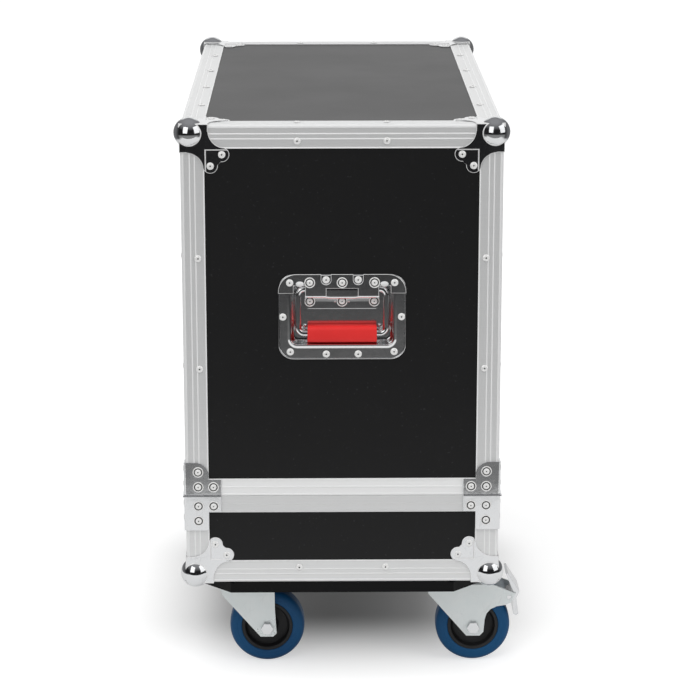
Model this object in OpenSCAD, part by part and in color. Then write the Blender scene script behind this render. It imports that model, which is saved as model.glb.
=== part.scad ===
// Combo amp flight case: a lift-off hood that stands on a tray with casters.
// Millimetres, +Z up, X is the width and Y the length. The origin is on the
// floor under the middle of the case, and the photographed end faces -Y.

/* [Case] */
// Width over the edge extrusions
case_w = 404; // [360:2:480]
// Length over the edge extrusions
case_l = 780; // [700:5:960]
// Height of the hood, from the seam to its top face
hood_h = 483; // [380:1:620]
// Height of the tray, from its underside to the seam
tray_h = 118; // [116:1:180]
// Thickness of the plywood panels
ply_t = 9; // [8:0.5:12]
// Thickness of the foam lining
foam_t = 12; // [10:0.5:20]
// Gap between the hood and the tray at the seam
seam_gap = 0.3; // [0.2:0.05:0.6]

/* [Edge extrusions] */
// Width of one leg of an edge extrusion
edge_leg = 30; // [27:1:34]
// Wall of the extrusions
edge_t = 1.5; // [1.3:0.1:2]
// Outer radius of an edge extrusion's corner
edge_r = 3; // [2:0.5:4.5]
// Depth of the reeded channels in an extrusion
reed_d = 0.4; // [0.2:0.1:0.7]
// Width of a ridge between two channels
ridge_w = 2; // [1.4:0.2:3]
// Distance of an edge extrusion's first ridge from its corner
ridge_near = 11.4; // [9:0.2:13]
// Distance of its second ridge
ridge_far = 17.8; // [16:0.2:22]
// Width of the plain lip at a leg's free edge
lip_w = 2.5; // [1.5:0.5:4]
// Gap left by a mitre saw cut
mitre_gap = 0.1; // [0.05:0.05:0.4]

/* [Closure rails] */
// Height of a closure rail's outer leg
rail_h = 22.5; // [20:0.5:26]
// Height of a closure rail's inner leg
rail_in_h = 14; // [11:0.5:18]
// Wall of the inner leg
rail_in_t = 1.2; // [1:0.1:2]
// Depth of the groove in the hood's rail
groove_d = 6; // [4:0.5:8]
// Width of the groove
groove_w = 4.4; // [3.6:0.2:5]
// Play of the tongue in the groove, on each side
tongue_play = 0.5; // [0.3:0.1:0.8]
// Web between the groove or the seam and the panel's edge
web_t = 2; // [1.5:0.1:3]

/* [Ball corners] */
// Radius of the ball
ball_r = 19.5; // [19:0.1:21]
// Distance of the ball's centre behind each face
ball_in = 11; // [10:0.1:11.2]
// Thickness of the corner plates
plate_t = 1.2; // [0.9:0.1:1.5]
// Reach of a plate along the case's edge
plate_reach = 35; // [32:1:38]
// Radius of the two lobes at a plate's end
lobe_r = 9.5; // [8:0.5:11]
// Distance of a lobe's rivet from the nearer case edge
lobe_near = 37.5; // [36:0.5:40]
// Distance of a lobe's rivet from the farther case edge
lobe_far = 52; // [50:0.5:55]

/* [Seam braces] */
// Thickness of a brace
brace_t = 2; // [1.5:0.25:2.5]
// Reach of a brace along the closure rail
brace_reach = 46; // [42:1:52]
// Height of an upper brace
brace_up_h = 44.5; // [42:0.5:50]
// Height of a lower brace
brace_low_h = 46.5; // [42:0.5:50]
// Radius of an upper brace's round shoulder
brace_r = 17; // [12:1:20]
// Depth of a brace's lip at the seam
brace_lip = 3.6; // [2.6:0.2:5]

/* [Rivets] */
// Radius of a rivet's head
rivet_r = 4.7; // [3.5:0.1:5]
// Height of a rivet's head
rivet_h = 1.7; // [1.2:0.1:2.4]
// Radius of the hole that the rivet's mandrel leaves
rivet_eye = 1.3; // [0.8:0.1:1.6]
// Radius of the broad rivets on braces and hinge plates
broad_r = 5.8; // [5:0.1:6.2]
// Rivets between the corners on each long edge
long_rivets = 4; // [2:1:6]
// Distance of the first of these rivets past the caster boards
long_rivet_gap = 8; // [6:1:30]
// Half spacing of the two rivets on each end edge
end_rivet_x = 56; // [40:1:80]
// Distance of the edge rivets from the case's edge
edge_rivet_in = 20.5; // [18:0.5:22]
// Height of the upper post rivets below the hood's top
post_rivet_a = 170; // [120:5:180]
// Height of the lower post rivets below the hood's top
post_rivet_b = 314; // [220:2:320]

/* [End handles] */
// Height of a handle's centre below the hood's top
handle_drop = 246; // [200:1:300]
// Width of a handle's dish flange
dish_w = 162; // [156:1:180]
// Height of a handle's dish flange
dish_h = 111; // [108:1:130]
// Radius of the flange's corners
dish_r = 19; // [12:1:24]
// Sheet thickness of the dish, the cover and the hinge plate
dish_t = 1.2; // [1:0.1:1.6]
// Depth of the dish behind the panel's face
dish_d = 14; // [13.6:0.1:15]
// Width of the dish's opening
pan_w = 128; // [126:1:134]
// Distance from the handle's centre down to the opening's lower edge
pan_low = 38.5; // [38.3:0.1:42]
// Distance from the handle's centre up to the opening's upper edge
pan_up = 41; // [40.6:0.1:43]
// Radius of the bail's rod
rod_r = 4; // [3:0.1:4.2]
// Half width of the bail, at the middle of its legs
bail_x = 56; // [54:0.5:57]
// Height of the bail's pivot above the handle's centre
pivot_y = 35; // [34:0.5:36]
// Depth of the bail's pivot behind the panel's face
pivot_d = 5; // [4.8:0.1:5.4]
// Length of the bail, from its pivot to the middle of its bar
bail_len = 58; // [54:0.5:58.5]
// Centreline radius of the bail's bends
bend_r = 8; // [6:0.5:9]
// Length of the rubber grip
grip_l = 88; // [70:1:90]
// Height of the rubber grip
grip_h = 22; // [20:0.5:28.5]
// Thickness of the rubber grip
grip_t = 17; // [12:0.5:17.2]
// Radius of the grip's edges
grip_r = 5; // [4:0.5:6]
// Radial play of pins in their bores
pin_play = 0.08; // [0.02:0.01:0.09]

/* [Latches] */
// Distance of each latch from the middle of the case
latch_y = 200; // [120:5:230]
// Half width of a latch dish's recess
latch_hw = 52; // [50:0.5:54]
// Width of the flange round a latch dish
latch_rim = 8; // [7:0.5:10]
// Depth of the recess below the seam
latch_low = 54; // [52:0.5:56]
// Height of the recess above the seam
latch_up = 32; // [26:0.5:40]
// Depth of the recess behind the case's face
latch_d = 13; // [12:0.25:14]
// Sheet thickness of a latch dish
latch_t = 1.2; // [1:0.1:1.6]
// Distance of the key's axis below the seam
key_z = 26; // [25:0.5:28]
// Radius of the key's spindle
spindle_r = 4; // [3:0.25:5]
// Half length of the key's wings
wing_l = 23; // [18:0.5:24]
// Half width of the key's wings at their tips
wing_w = 11; // [8:0.5:12]
// Thickness of the key's wings
wing_t = 2.6; // [2:0.2:3]
// Radius of the hook's claw round the spindle
claw_r = 42; // [40:0.5:44]
// Thickness of the claw and of the catch, along the radius
claw_t = 3.4; // [2.6:0.2:4]
// Thickness of the hook's arm
arm_t = 2; // [1.6:0.2:2.4]
// Half angle of the claw
claw_a = 17; // [10:1:22]

/* [Casters] */
// Height of a caster, from the floor to the top of its plate
caster_h = 128; // [126:1:140]
// Distance of a swivel axis from the case's side
caster_side = 64; // [63:1:80]
// Distance of a swivel axis from the case's end
caster_in = 102; // [101:1:150]
// Distance of the axle behind the swivel axis
trail = 38; // [36:0.5:42]
// Radius of a wheel
wheel_r = 50; // [48:0.5:50]
// Width of a tyre
wheel_w = 36; // [30:1:36]
// Radius at which the tyre meets the wheel's core
core_r = 34; // [30:0.5:38]
// Half width of the gap between the fork's cheeks
cheek_in = 21; // [20:0.5:24]
// Thickness of a fork's cheek
cheek_t = 2.5; // [2:0.25:3]
// Radius of the axle
axle_r = 5; // [4:0.5:6]
// Length of a caster's top plate, along the case
top_l = 92; // [86:1:100]
// Width of a caster's top plate, across the case
top_w = 80; // [72:1:90]
// Thickness of a caster's top plate
top_t = 3; // [2.5:0.25:4]
// Spacing of the plate's bolts along the case
bolt_l = 68; // [66:1:69]
// Spacing of the plate's bolts across the case
bolt_w = 56; // [54:1:58]
// Radius of a plate bolt
bolt_r = 4; // [3:0.5:4.5]
// Thickness of the boards that the casters are bolted to
board_t = 15; // [13:0.5:20]
// Distance of a board's edges behind the case's faces
board_in = 2; // [1:0.5:4]
// Chamfer of a board's corners that clears the ball corners
board_chamfer = 55; // [48:1:58]
// Board left past a caster's top plate
board_spare = 2; // [1:0.5:4]

/* [Hidden] */
$fn = 64;

half_w = case_w / 2;
half_l = case_l / 2;
tray_z = caster_h + board_t;
seam_z = tray_z + tray_h;
hood_z = seam_z + seam_gap;
top_z = seam_z + hood_h;
caster_x = half_w - caster_side;
caster_y = half_l - caster_in;
// Depth behind the case's faces at which the panels and the foam begin
skin = edge_t;
lining = edge_t + ply_t;
// Small clearance between parts that are fitted face to face
fit = 0.3;
// Length that runs a cutting tool well past what it cuts
past = 2;

// Colours of the finishes
laminate = [0.13, 0.13, 0.13];
bare_metal = [0.78, 0.78, 0.77];
chrome = [0.85, 0.85, 0.86];
zinc = [0.80, 0.82, 0.82];
foam_grey = [0.20, 0.20, 0.21];
grip_red = [0.80, 0.10, 0.10];
tyre_blue = [0.07, 0.28, 0.48];
core_black = [0.05, 0.05, 0.05];
board_black = [0.09, 0.09, 0.09];

// Placing

// Repeats its children in the four quarters of the case, mirrored into place
module four_quarters() {
    for (flip_x = [false, true]) for (flip_y = [false, true])
        flip(flip_x, [1, 0, 0]) flip(flip_y, [0, 1, 0]) children();
}

module flip(on, normal) {
    if (on) mirror(normal) children();
    else children();
}

// Repeats its children at both ends of the case, turned about the middle
module two_ends() {
    for (turn = [0, 180]) rotate([0, 0, turn]) children();
}

// Corner frames: the origin is the case's outer corner and all axes run inwards
module hood_corners() {
    four_quarters() translate([-half_w, -half_l, top_z]) mirror([0, 0, 1]) children();
}

module tray_corners() {
    four_quarters() translate([-half_w, -half_l, tray_z]) children();
}

// Seam frames: the origin is on the case's upright edge, X and Y run inwards
module hood_seam_corners() {
    four_quarters() translate([-half_w, -half_l, hood_z]) children();
}

module tray_seam_corners() {
    four_quarters() translate([-half_w, -half_l, seam_z]) mirror([0, 0, 1]) children();
}

// Handle frame: X is the width, Y is up and Z points out of the end panel
module on_end(turn) {
    rotate([0, 0, turn]) translate([0, skin - half_l, top_z - handle_drop])
        rotate([90, 0, 0]) children();
}

// Latch frame: X points out of the long side, Z is up from the seam
function latch_side(k) = k <= 2 ? 0 : 180;
function latch_pos(k) = k % 2 == 1 ? -latch_y : latch_y;
module at_latch(k) {
    rotate([0, 0, latch_side(k)]) translate([half_w, latch_pos(k), seam_z]) children();
}

// Caster frame: Z is the swivel axis from the floor up, and the wheel trails along X.
// Casters 2 and 4 have a brake.
module at_caster(k) {
    rotate([0, 0, k <= 2 ? 0 : 180])
        translate([k % 2 == 1 ? -caster_x : caster_x, -caster_y, 0]) children();
}

// Shared shapes

// Rectangle with round corners about the origin
module round_rect(w, h, r) {
    square([w - 2 * r, h], center = true);
    square([w, h - 2 * r], center = true);
    for (x = [r - w / 2, w / 2 - r]) for (y = [r - h / 2, h / 2 - r])
        translate([x, y]) circle(r);
}

// What is cut from a square corner at the origin to leave a round one
module corner_waste(r) {
    difference() {
        translate([-past, -past]) square(r + past);
        translate([r, r]) circle(r);
        translate([r, r]) square(r);
    }
}

// Starts and ends of the three channels along a leg
channels = [
    [edge_r + ridge_w / 2, ridge_near - ridge_w / 2],
    [ridge_near + ridge_w / 2, ridge_far - ridge_w / 2],
    [ridge_far + ridge_w / 2, edge_leg - lip_w]];

// Section of an edge extrusion, with its outer corner at the origin
module edge_section() {
    difference() {
        square(edge_leg);
        translate([edge_t, edge_t]) square(edge_leg);
        corner_waste(edge_r);
        for (c = channels) {
            translate([c[0], -past]) square([c[1] - c[0], past + reed_d]);
            translate([-past, c[0]]) square([past + reed_d, c[1] - c[0]]);
        }
    }
}

// Carries a section along X, with the section's axes along Y and Z
module along_x(len) {
    rotate([90, 0, 90]) linear_extrude(len) children();
}

// Half space wedge that cuts a bar's end so that x is at least y
module mitre_y(size) {
    translate([mitre_gap, 0, -size]) linear_extrude(2 * size)
        polygon([[-size, -size], [size, size], [-size, size]]);
}

// The same wedge, with x at least z
module mitre_z(size) {
    rotate([-90, 0, 0]) mirror([0, 1, 0]) mitre_y(size);
}

// Edge extrusion along X with both ends mitred to the two bars that it meets
module mitred_edge(len) {
    reach = 2 * edge_leg;
    difference() {
        along_x(len) edge_section();
        mitre_y(reach);
        mitre_z(reach);
        translate([len, 0, 0]) mirror([1, 0, 0]) {
            mitre_y(reach);
            mitre_z(reach);
        }
    }
}

// Upright post from the corner frame's origin, mitred at its foot only
module post(len) {
    reach = 2 * edge_leg;
    difference() {
        linear_extrude(len) edge_section();
        rotate([0, -90, 0]) mitre_y(reach);
        rotate([0, -90, -90]) mitre_y(reach);
    }
}

// The four edge extrusions that frame a rectangle, in the frame of the corners
module edge_frame() {
    for (y = [false, true]) flip(y, [0, 1, 0])
        translate([-half_w, -half_l, 0]) mitred_edge(case_w);
    for (x = [false, true]) flip(x, [1, 0, 0])
        translate([-half_w, half_l, 0]) rotate([0, 0, -90]) mitred_edge(case_l);
}

// Closure rail section: X runs inwards from the case's face, Y away from the seam
module rail_section(web) {
    difference() {
        union() {
            square([skin, rail_h]);
            square([lining + rail_in_t, web]);
            translate([lining, 0]) square([rail_in_t, rail_in_h]);
        }
        for (y = rail_reeds) translate([-past, y[0]]) square([past + reed_d, y[1] - y[0]]);
    }
}

rail_ridge = rail_h / 2;
rail_reeds = [[lip_w, rail_ridge - ridge_w / 2], [rail_ridge + ridge_w / 2, rail_h - lip_w]];
groove_x = skin + ply_t / 2;
hood_web = groove_d + web_t;

module hood_rail_section() {
    difference() {
        rail_section(hood_web);
        translate([groove_x - groove_w / 2, -past]) square([groove_w, past + groove_d]);
    }
}

module tray_rail_section() {
    tongue_w = groove_w - 2 * tongue_play;
    tongue_h = groove_d + seam_gap - tongue_play;
    rail_section(web_t);
    translate([groove_x - tongue_w / 2, -tongue_h]) square([tongue_w, tongue_h + web_t]);
}

// One length of closure rail along X, mitred in plan at both ends
module mitred_rail(len) {
    reach = 2 * rail_h;
    difference() {
        along_x(len) children();
        mitre_y(reach);
        translate([len, 0, 0]) mirror([1, 0, 0]) mitre_y(reach);
    }
}

module rail_frame() {
    for (y = [false, true]) flip(y, [0, 1, 0])
        translate([-half_w, -half_l, 0]) mitred_rail(case_w) children();
    for (x = [false, true]) flip(x, [1, 0, 0])
        translate([-half_w, half_l, 0]) rotate([0, 0, -90]) mitred_rail(case_l) children();
}

// Openings that the latches need in rails, panels and foam, in the case's frame
module latch_windows(inset, deep) {
    for (k = [1:4]) at_latch(k)
        translate([-deep, -latch_hw - inset, -latch_low - inset])
            cube([deep + past, 2 * (latch_hw + inset), latch_low + latch_up + 2 * inset]);
}

// Openings that the handle dishes need in panels and foam
module handle_windows(inset, deep) {
    for (turn = [0, 180]) on_end(turn)
        translate([-pan_w / 2 - inset, -pan_low - inset, -deep])
            cube([pan_w + 2 * inset, pan_low + pan_up + 2 * inset, deep + past]);
}

latch_window_in = latch_t + fit;
handle_window_in = dish_t + fit;

// Panels

module tray_floor_panel() {
    color(laminate) difference() {
        translate([skin - half_w, skin - half_l, tray_z + skin])
            cube([case_w - 2 * skin, case_l - 2 * skin, ply_t]);
        bolt_holes();
    }
}

tray_wall_z = tray_z + lining;
tray_wall_h = seam_z - web_t - tray_wall_z;
hood_wall_z = hood_z + hood_web;
hood_wall_h = top_z - lining - hood_wall_z;

// Walls of a half: the side walls run the full length, the end walls fit between them
module side_walls(z, h) {
    for (s = [false, true]) flip(s, [1, 0, 0])
        translate([half_w - lining, skin - half_l, z]) cube([ply_t, case_l - 2 * skin, h]);
}

module end_walls(z, h) {
    for (s = [false, true]) flip(s, [0, 1, 0])
        translate([lining - half_w, skin - half_l, z]) cube([case_w - 2 * lining, ply_t, h]);
}

module tray_end_panels() {
    color(laminate) end_walls(tray_wall_z, tray_wall_h);
}

module tray_side_panels() {
    color(laminate) difference() {
        side_walls(tray_wall_z, tray_wall_h);
        latch_windows(latch_window_in, lining + past);
    }
}

module hood_top_panel() {
    color(laminate) translate([skin - half_w, skin - half_l, top_z - lining])
        cube([case_w - 2 * skin, case_l - 2 * skin, ply_t]);
}

module hood_end_panels() {
    color(laminate) difference() {
        end_walls(hood_wall_z, hood_wall_h);
        handle_windows(handle_window_in, lining + past);
    }
}

module hood_side_panels() {
    color(laminate) difference() {
        side_walls(hood_wall_z, hood_wall_h);
        latch_windows(latch_window_in, lining + past);
    }
}

// Extrusions

module tray_posts() {
    color(bare_metal) tray_corners() post(tray_h - rail_h);
}

module hood_posts() {
    color(bare_metal) hood_corners() post(top_z - hood_z - rail_h);
}

module tray_bottom_edges() {
    color(bare_metal) translate([0, 0, tray_z]) edge_frame();
}

module hood_top_edges() {
    color(bare_metal) translate([0, 0, top_z]) mirror([0, 0, 1]) edge_frame();
}

module tray_closure_rail() {
    color(bare_metal) difference() {
        translate([0, 0, seam_z]) mirror([0, 0, 1]) rail_frame() tray_rail_section();
        latch_windows(latch_window_in, lining + rail_in_t + past);
    }
}

module hood_closure_rail() {
    color(bare_metal) difference() {
        translate([0, 0, hood_z]) rail_frame() hood_rail_section();
        latch_windows(latch_window_in, lining + rail_in_t + past);
    }
}

// Ball corners

lobes = [[lobe_far, lobe_near], [lobe_near, lobe_far]];
// The flanks are hollowed by a circle that leaves the plate's reach at the case's edge
flank_r = 22;
flank_at = [plate_reach + flank_r + 0.4, 7];
step_in = edge_leg + fit;

// Outline of a plate on one face, with the case's corner at the origin
module corner_outline() {
    tip = lobe_far + lobe_r * 0.7;
    difference() {
        union() {
            translate([-plate_t, -plate_t]) polygon([
                [0, 0], [plate_reach + plate_t, 0], [plate_reach + plate_t, 9],
                [tip - 2, lobe_near - 6], [tip, lobe_near], [lobe_far, lobe_far - 4],
                [lobe_far - 4, lobe_far], [lobe_near, tip], [lobe_near - 6, tip - 2],
                [9, plate_reach + plate_t], [0, plate_reach + plate_t]]);
            for (p = lobes) translate(p) circle(lobe_r);
        }
        translate(flank_at) circle(flank_r);
        translate([flank_at[1], flank_at[0]]) circle(flank_r);
    }
}

// Plate on the face z = 0: proud over the extrusions, then stepped down to the panel
module corner_plate() {
    inner = step_in + plate_t;
    far = 2 * edge_leg + lobe_far;
    translate([0, 0, -plate_t]) linear_extrude(plate_t) difference() {
        corner_outline();
        translate([inner, inner]) square(far);
    }
    translate([0, 0, skin - plate_t]) linear_extrude(plate_t) intersection() {
        corner_outline();
        translate([step_in, step_in]) square(far);
    }
    translate([0, 0, -plate_t]) linear_extrude(plate_t + skin) intersection() {
        corner_outline();
        translate([step_in, step_in]) difference() {
            square(far);
            translate([plate_t, plate_t]) square(far);
        }
    }
}

// Turns a face plate on z = 0 to the three faces that meet at the corner
module three_faces() {
    children();
    rotate([90, 0, 90]) children();
    rotate([0, -90, -90]) children();
}

module ball_corner() {
    difference() {
        translate([ball_in, ball_in, ball_in]) sphere(ball_r, $fn = 96);
        cube(2 * ball_r + ball_in);
    }
    three_faces() corner_plate();
}

module tray_ball_corners() {
    color(chrome) tray_corners() ball_corner();
}

module hood_ball_corners() {
    color(chrome) hood_corners() ball_corner();
}

// Seam braces

brace_arm = rail_h - 1;
brace_round = brace_t + 1;

module brace_outline(h, shoulder) {
    square([edge_leg, h - shoulder]);
    square([edge_leg - shoulder, h]);
    translate([edge_leg - shoulder, h - shoulder]) circle(shoulder);
    square([brace_reach, brace_arm]);
}

// One wing of a brace on the face y = 0, wrapped past the corner, with its seam lip
module brace_wing(h, shoulder) {
    rotate([90, 0, 0]) linear_extrude(brace_t) {
        translate([-brace_t, 0]) square([2 * brace_t, h]);
        brace_outline(h, shoulder);
    }
    translate([-brace_lip, -brace_lip, 0]) cube([brace_reach + brace_lip, brace_lip, brace_t / 2]);
}

// Both wings, in a seam frame
module brace(h, shoulder) {
    difference() {
        union() {
            brace_wing(h, shoulder);
            mirror([1, -1, 0]) brace_wing(h, shoulder);
        }
        translate([-brace_t, -brace_t, brace_t / 2]) linear_extrude(2 * h) corner_waste(brace_round);
        cube([2 * edge_t, 2 * edge_t, 2 * h]);
    }
}

module tray_braces() {
    color(chrome) tray_seam_corners() brace(brace_low_h, 2);
}

module hood_braces() {
    color(chrome) hood_seam_corners() brace(brace_up_h, brace_r);
}

// Rivets

// Domed head on z = 0, with the eye that the mandrel leaves
module rivet_head(r) {
    cap = (r * r + rivet_h * rivet_h) / (2 * rivet_h);
    difference() {
        intersection() {
            translate([0, 0, rivet_h - cap]) sphere(cap, $fn = 48);
            cylinder(h = rivet_h, r = r, $fn = 32);
        }
        translate([0, 0, rivet_h / 2]) cylinder(h = rivet_h, r = rivet_eye, $fn = 24);
    }
}

// Rivets on a face z = 0 whose outside is -z
module face_rivets(points, out, r) {
    for (p = points) translate([p[0], p[1], -out]) mirror([0, 0, 1]) rivet_head(r);
}

module ball_corner_rivets() {
    three_faces() face_rivets(lobes, plate_t - skin, rivet_r);
}

brace_up_rivets = [[16.4, 32], [16.4, 12], [36, 12]];
brace_low_rivets = [[16.4, 33.4], [16.4, 13.5], [36, 13.5]];

// Rivets of a brace in a seam frame, with each point as the reach and the height
module brace_rivets(points) {
    for (p = points) {
        translate([p[0], -brace_t, p[1]]) rotate([90, 0, 0]) rivet_head(broad_r);
        translate([-brace_t, p[0], p[1]]) rotate([0, -90, 0]) rivet_head(broad_r);
    }
}

// Places along a long edge, from the case's end
long_rivet_in = caster_in + top_l / 2 + board_spare + long_rivet_gap;
long_step = (case_l - 2 * long_rivet_in) / (long_rivets - 1);
long_places = [for (i = [0:long_rivets - 1]) long_rivet_in + i * long_step];

// Rivets along the four edges of a face, in the frame of edge_frame(). A caster
// board covers the end edges of the tray's underside, where there are none.
module edge_frame_rivets(covered) {
    for (s = [false, true]) {
        flip(s, [0, 1, 0]) translate([0, -half_l, 0]) for (x = [-end_rivet_x, end_rivet_x]) {
            if (!covered) translate([x, edge_rivet_in, 0]) mirror([0, 0, 1]) rivet_head(rivet_r);
            translate([x, 0, edge_rivet_in]) rotate([90, 0, 0]) rivet_head(rivet_r);
        }
        flip(s, [1, 0, 0]) translate([-half_w, -half_l, 0]) for (y = long_places) {
            translate([edge_rivet_in, y, 0]) mirror([0, 0, 1]) rivet_head(rivet_r);
            translate([0, y, edge_rivet_in]) rotate([0, -90, 0]) rivet_head(rivet_r);
        }
    }
}

// Rivets on both legs of a post, in a corner frame
module post_rivets() {
    for (z = [post_rivet_a, post_rivet_b]) {
        translate([edge_rivet_in, 0, z]) rotate([90, 0, 0]) rivet_head(rivet_r);
        translate([0, edge_rivet_in, z]) rotate([0, -90, 0]) rivet_head(rivet_r);
    }
}

// Rivets through the flange of a latch dish, below and above the seam
latch_rivet_y = latch_hw + latch_rim / 2;
module latch_rivets(places) {
    for (p = places) translate([latch_t, p[0], p[1]]) rotate([0, 90, 0]) rivet_head(latch_rim / 2 - 0.4);
}

module tray_rivets() {
    color(chrome) {
        tray_corners() ball_corner_rivets();
        tray_seam_corners() brace_rivets(brace_low_rivets);
        translate([0, 0, tray_z]) edge_frame_rivets(true);
        for (k = [1:4]) at_latch(k) latch_rivets([for (y = [-1, 1]) for (z = [rail_h / 2, latch_low])
            [y * latch_rivet_y, -z]]);
    }
}

module hood_rivets() {
    color(chrome) {
        hood_corners() {
            ball_corner_rivets();
            post_rivets();
        }
        hood_seam_corners() brace_rivets(brace_up_rivets);
        translate([0, 0, top_z]) mirror([0, 0, 1]) edge_frame_rivets(false);
        for (k = [1:4]) at_latch(k) latch_rivets([for (y = [-1, 1]) [y * latch_rivet_y, rail_h / 2]]);
    }
}

// Foam

module tray_foam() {
    wall_in = lining + foam_t;
    color(foam_grey) {
        difference() {
            foam_slab(wall_in, wall_in, tray_wall_z, foam_t);
            translate([0, 0, tray_z + lining - 1]) bolt_pockets();
        }
        foam_walls([tray_wall_z, seam_z - latch_low - latch_window_in],
            [tray_wall_z, seam_z - rail_in_h - fit]);
    }
}

module hood_foam() {
    ceiling_z = top_z - lining - foam_t;
    color(foam_grey) difference() {
        union() {
            foam_slab(lining, lining, ceiling_z, foam_t);
            foam_walls([seam_z + latch_up + latch_window_in, ceiling_z - fit],
                [hood_z + rail_in_h + fit, ceiling_z - fit]);
        }
        handle_windows(handle_window_in, dish_d + dish_t + fit);
    }
}

// Flat slab inside the panels
module foam_slab(in_x, in_y, z, t) {
    translate([in_x + fit - half_w, in_y + fit - half_l, z])
        cube([case_w - 2 * (in_x + fit), case_l - 2 * (in_y + fit), t]);
}

// Four wall slabs, each pair between two heights. The side slabs run the full length
// and keep clear of the latch dishes.
module foam_walls(side, end) {
    for (s = [false, true]) {
        flip(s, [1, 0, 0]) translate([half_w - lining - foam_t, lining + fit - half_l, side[0]])
            cube([foam_t, case_l - 2 * (lining + fit), side[1] - side[0]]);
        flip(s, [0, 1, 0]) translate([lining + foam_t + fit - half_w, lining - half_l, end[0]])
            cube([case_w - 2 * (lining + foam_t + fit), foam_t, end[1] - end[0]]);
    }
}

// Casters and their boards

wheel_z = wheel_r;
bridge_z = 107;
bridge_t = 3;
race_r = 28;
race_top = caster_h - top_t - 4.4;
king_r = 6;
king_nut_r = 9;
king_nut_h = 4;
bolt_nut_r = 6.5;
bolt_nut_h = 5.5;
bolt_top = 3;
board_relief = 2;

// Places of the bolts in the caster frame
bolt_places = [for (x = [-1, 1]) for (y = [-1, 1]) [x * bolt_w / 2, y * bolt_l / 2]];

module bolt_holes() {
    for (k = [1:4]) at_caster(k) for (p = bolt_places)
        translate([p[0], p[1], caster_h - top_t - past])
            cylinder(h = board_t + ply_t + top_t + 2 * past, r = bolt_r + fit);
}

// Pockets in the foam over the bolt heads
module bolt_pockets() {
    for (k = [1:4]) at_caster(k) for (p = bolt_places)
        translate([p[0], p[1], 0]) cylinder(h = bolt_top + 1 + fit, r = bolt_nut_r + fit);
}

// Boards under the ends of the tray, relieved on top for the ball corners' plates
module caster_boards() {
    x = half_w - board_in;
    y0 = board_in - half_l;
    y1 = caster_in + top_l / 2 + board_spare - half_l;
    relief = lobe_far + lobe_r + fit + 1;
    color(board_black) difference() {
        two_ends() translate([0, 0, caster_h]) linear_extrude(board_t) polygon([
            [board_chamfer - x, y0], [x - board_chamfer, y0], [x, y0 + board_chamfer],
            [x, y1], [-x, y1], [-x, y0 + board_chamfer]]);
        four_quarters() translate([-half_w, -half_l, tray_z - board_relief])
            cube([relief, relief, board_relief + past]);
        bolt_holes();
    }
}

// Fixed half of the casters: plate, upper race and kingpin with its nut
module caster_plates() {
    color(zinc) for (k = [1:4]) at_caster(k) difference() {
        union() {
            translate([0, 0, caster_h - top_t]) linear_extrude(top_t) round_rect(top_w, top_l, 8);
            translate([0, 0, race_top + fit]) cylinder(h = caster_h - race_top - fit - 1, r = race_r - 5);
            translate([0, 0, bridge_z - fit - king_nut_h]) {
                cylinder(h = caster_h - bridge_z, r = king_r);
                cylinder(h = king_nut_h, r = king_nut_r, $fn = 6);
            }
        }
        for (p = bolt_places) translate([p[0], p[1], caster_h - top_t - past])
            cylinder(h = top_t + 2 * past, r = bolt_r + fit);
    }
}

module caster_bolts() {
    nut_z = caster_h - top_t - bolt_nut_h;
    head_z = tray_z + lining;
    color(chrome) for (k = [1:4]) at_caster(k) for (p = bolt_places) translate([p[0], p[1], 0]) {
        translate([0, 0, nut_z - 1]) cylinder(h = head_z - nut_z + 1 + bolt_top / 2, r = bolt_r);
        translate([0, 0, nut_z]) cylinder(h = bolt_nut_h, r = bolt_nut_r, $fn = 6);
        translate([0, 0, head_z]) cylinder(h = bolt_top - 1, r = bolt_nut_r);
    }
}

// Reach of the bridge in front of the swivel axis, and behind the axle
bridge_fore = 26;
plain_aft = 10;
brake_aft = 24;
// Top of the bridge above the axle
crown = bridge_z + bridge_t - wheel_z;

// Side outline of a cheek, with the axle at the origin, X towards the trail and Y up
plain_cheek = [
    [-12, -9], [-9, -12.5], [8, -12.5], [12.5, -8], [10.5, 25], [plain_aft, crown],
    [-trail - bridge_fore, crown], [-trail - bridge_fore + 4, crown - 13]];
brake_cheek = [
    [-12, -9], [-9, -12.5], [9, -12.5], [14, -7], [15.5, 11], [18, 19], [23, 25], [31, 29],
    [43, 31], [50, 34], [57, 47], [brake_aft, crown], [-trail - bridge_fore, crown],
    [-trail - bridge_fore + 4, crown - 13]];

pedal_at = [48, 42];
pedal_pin_r = 3;

module fork(k) {
    braked = k % 2 == 0;
    outline = braked ? brake_cheek : plain_cheek;
    bridge_end = trail + (braked ? brake_aft : plain_aft);
    color(zinc) at_caster(k) difference() {
        union() {
            for (s = [false, true]) flip(s, [0, 1, 0])
                translate([trail, cheek_in + cheek_t, wheel_z]) rotate([90, 0, 0])
                    linear_extrude(cheek_t) polygon(outline);
            translate([-bridge_fore, -cheek_in - cheek_t, bridge_z])
                cube([bridge_fore + bridge_end, 2 * (cheek_in + cheek_t), bridge_t]);
            translate([0, 0, bridge_z]) cylinder(h = race_top - bridge_z, r = race_r);
        }
        translate([0, 0, bridge_z - past]) cylinder(h = race_top, r = king_r + pin_play);
        translate([trail, 0, wheel_z]) cross_bore(axle_r + pin_play / 2);
        if (braked) translate([trail + pedal_at[0], 0, wheel_z + pedal_at[1]])
            cross_bore(pedal_pin_r + pin_play);
    }
}

// Bore along Y through both cheeks
module cross_bore(r) {
    reach = cheek_in + cheek_t + past;
    translate([0, reach, 0]) rotate([90, 0, 0]) cylinder(h = 2 * reach, r = r);
}

axle_head_r = 8.5;
axle_head_h = 5;

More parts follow.
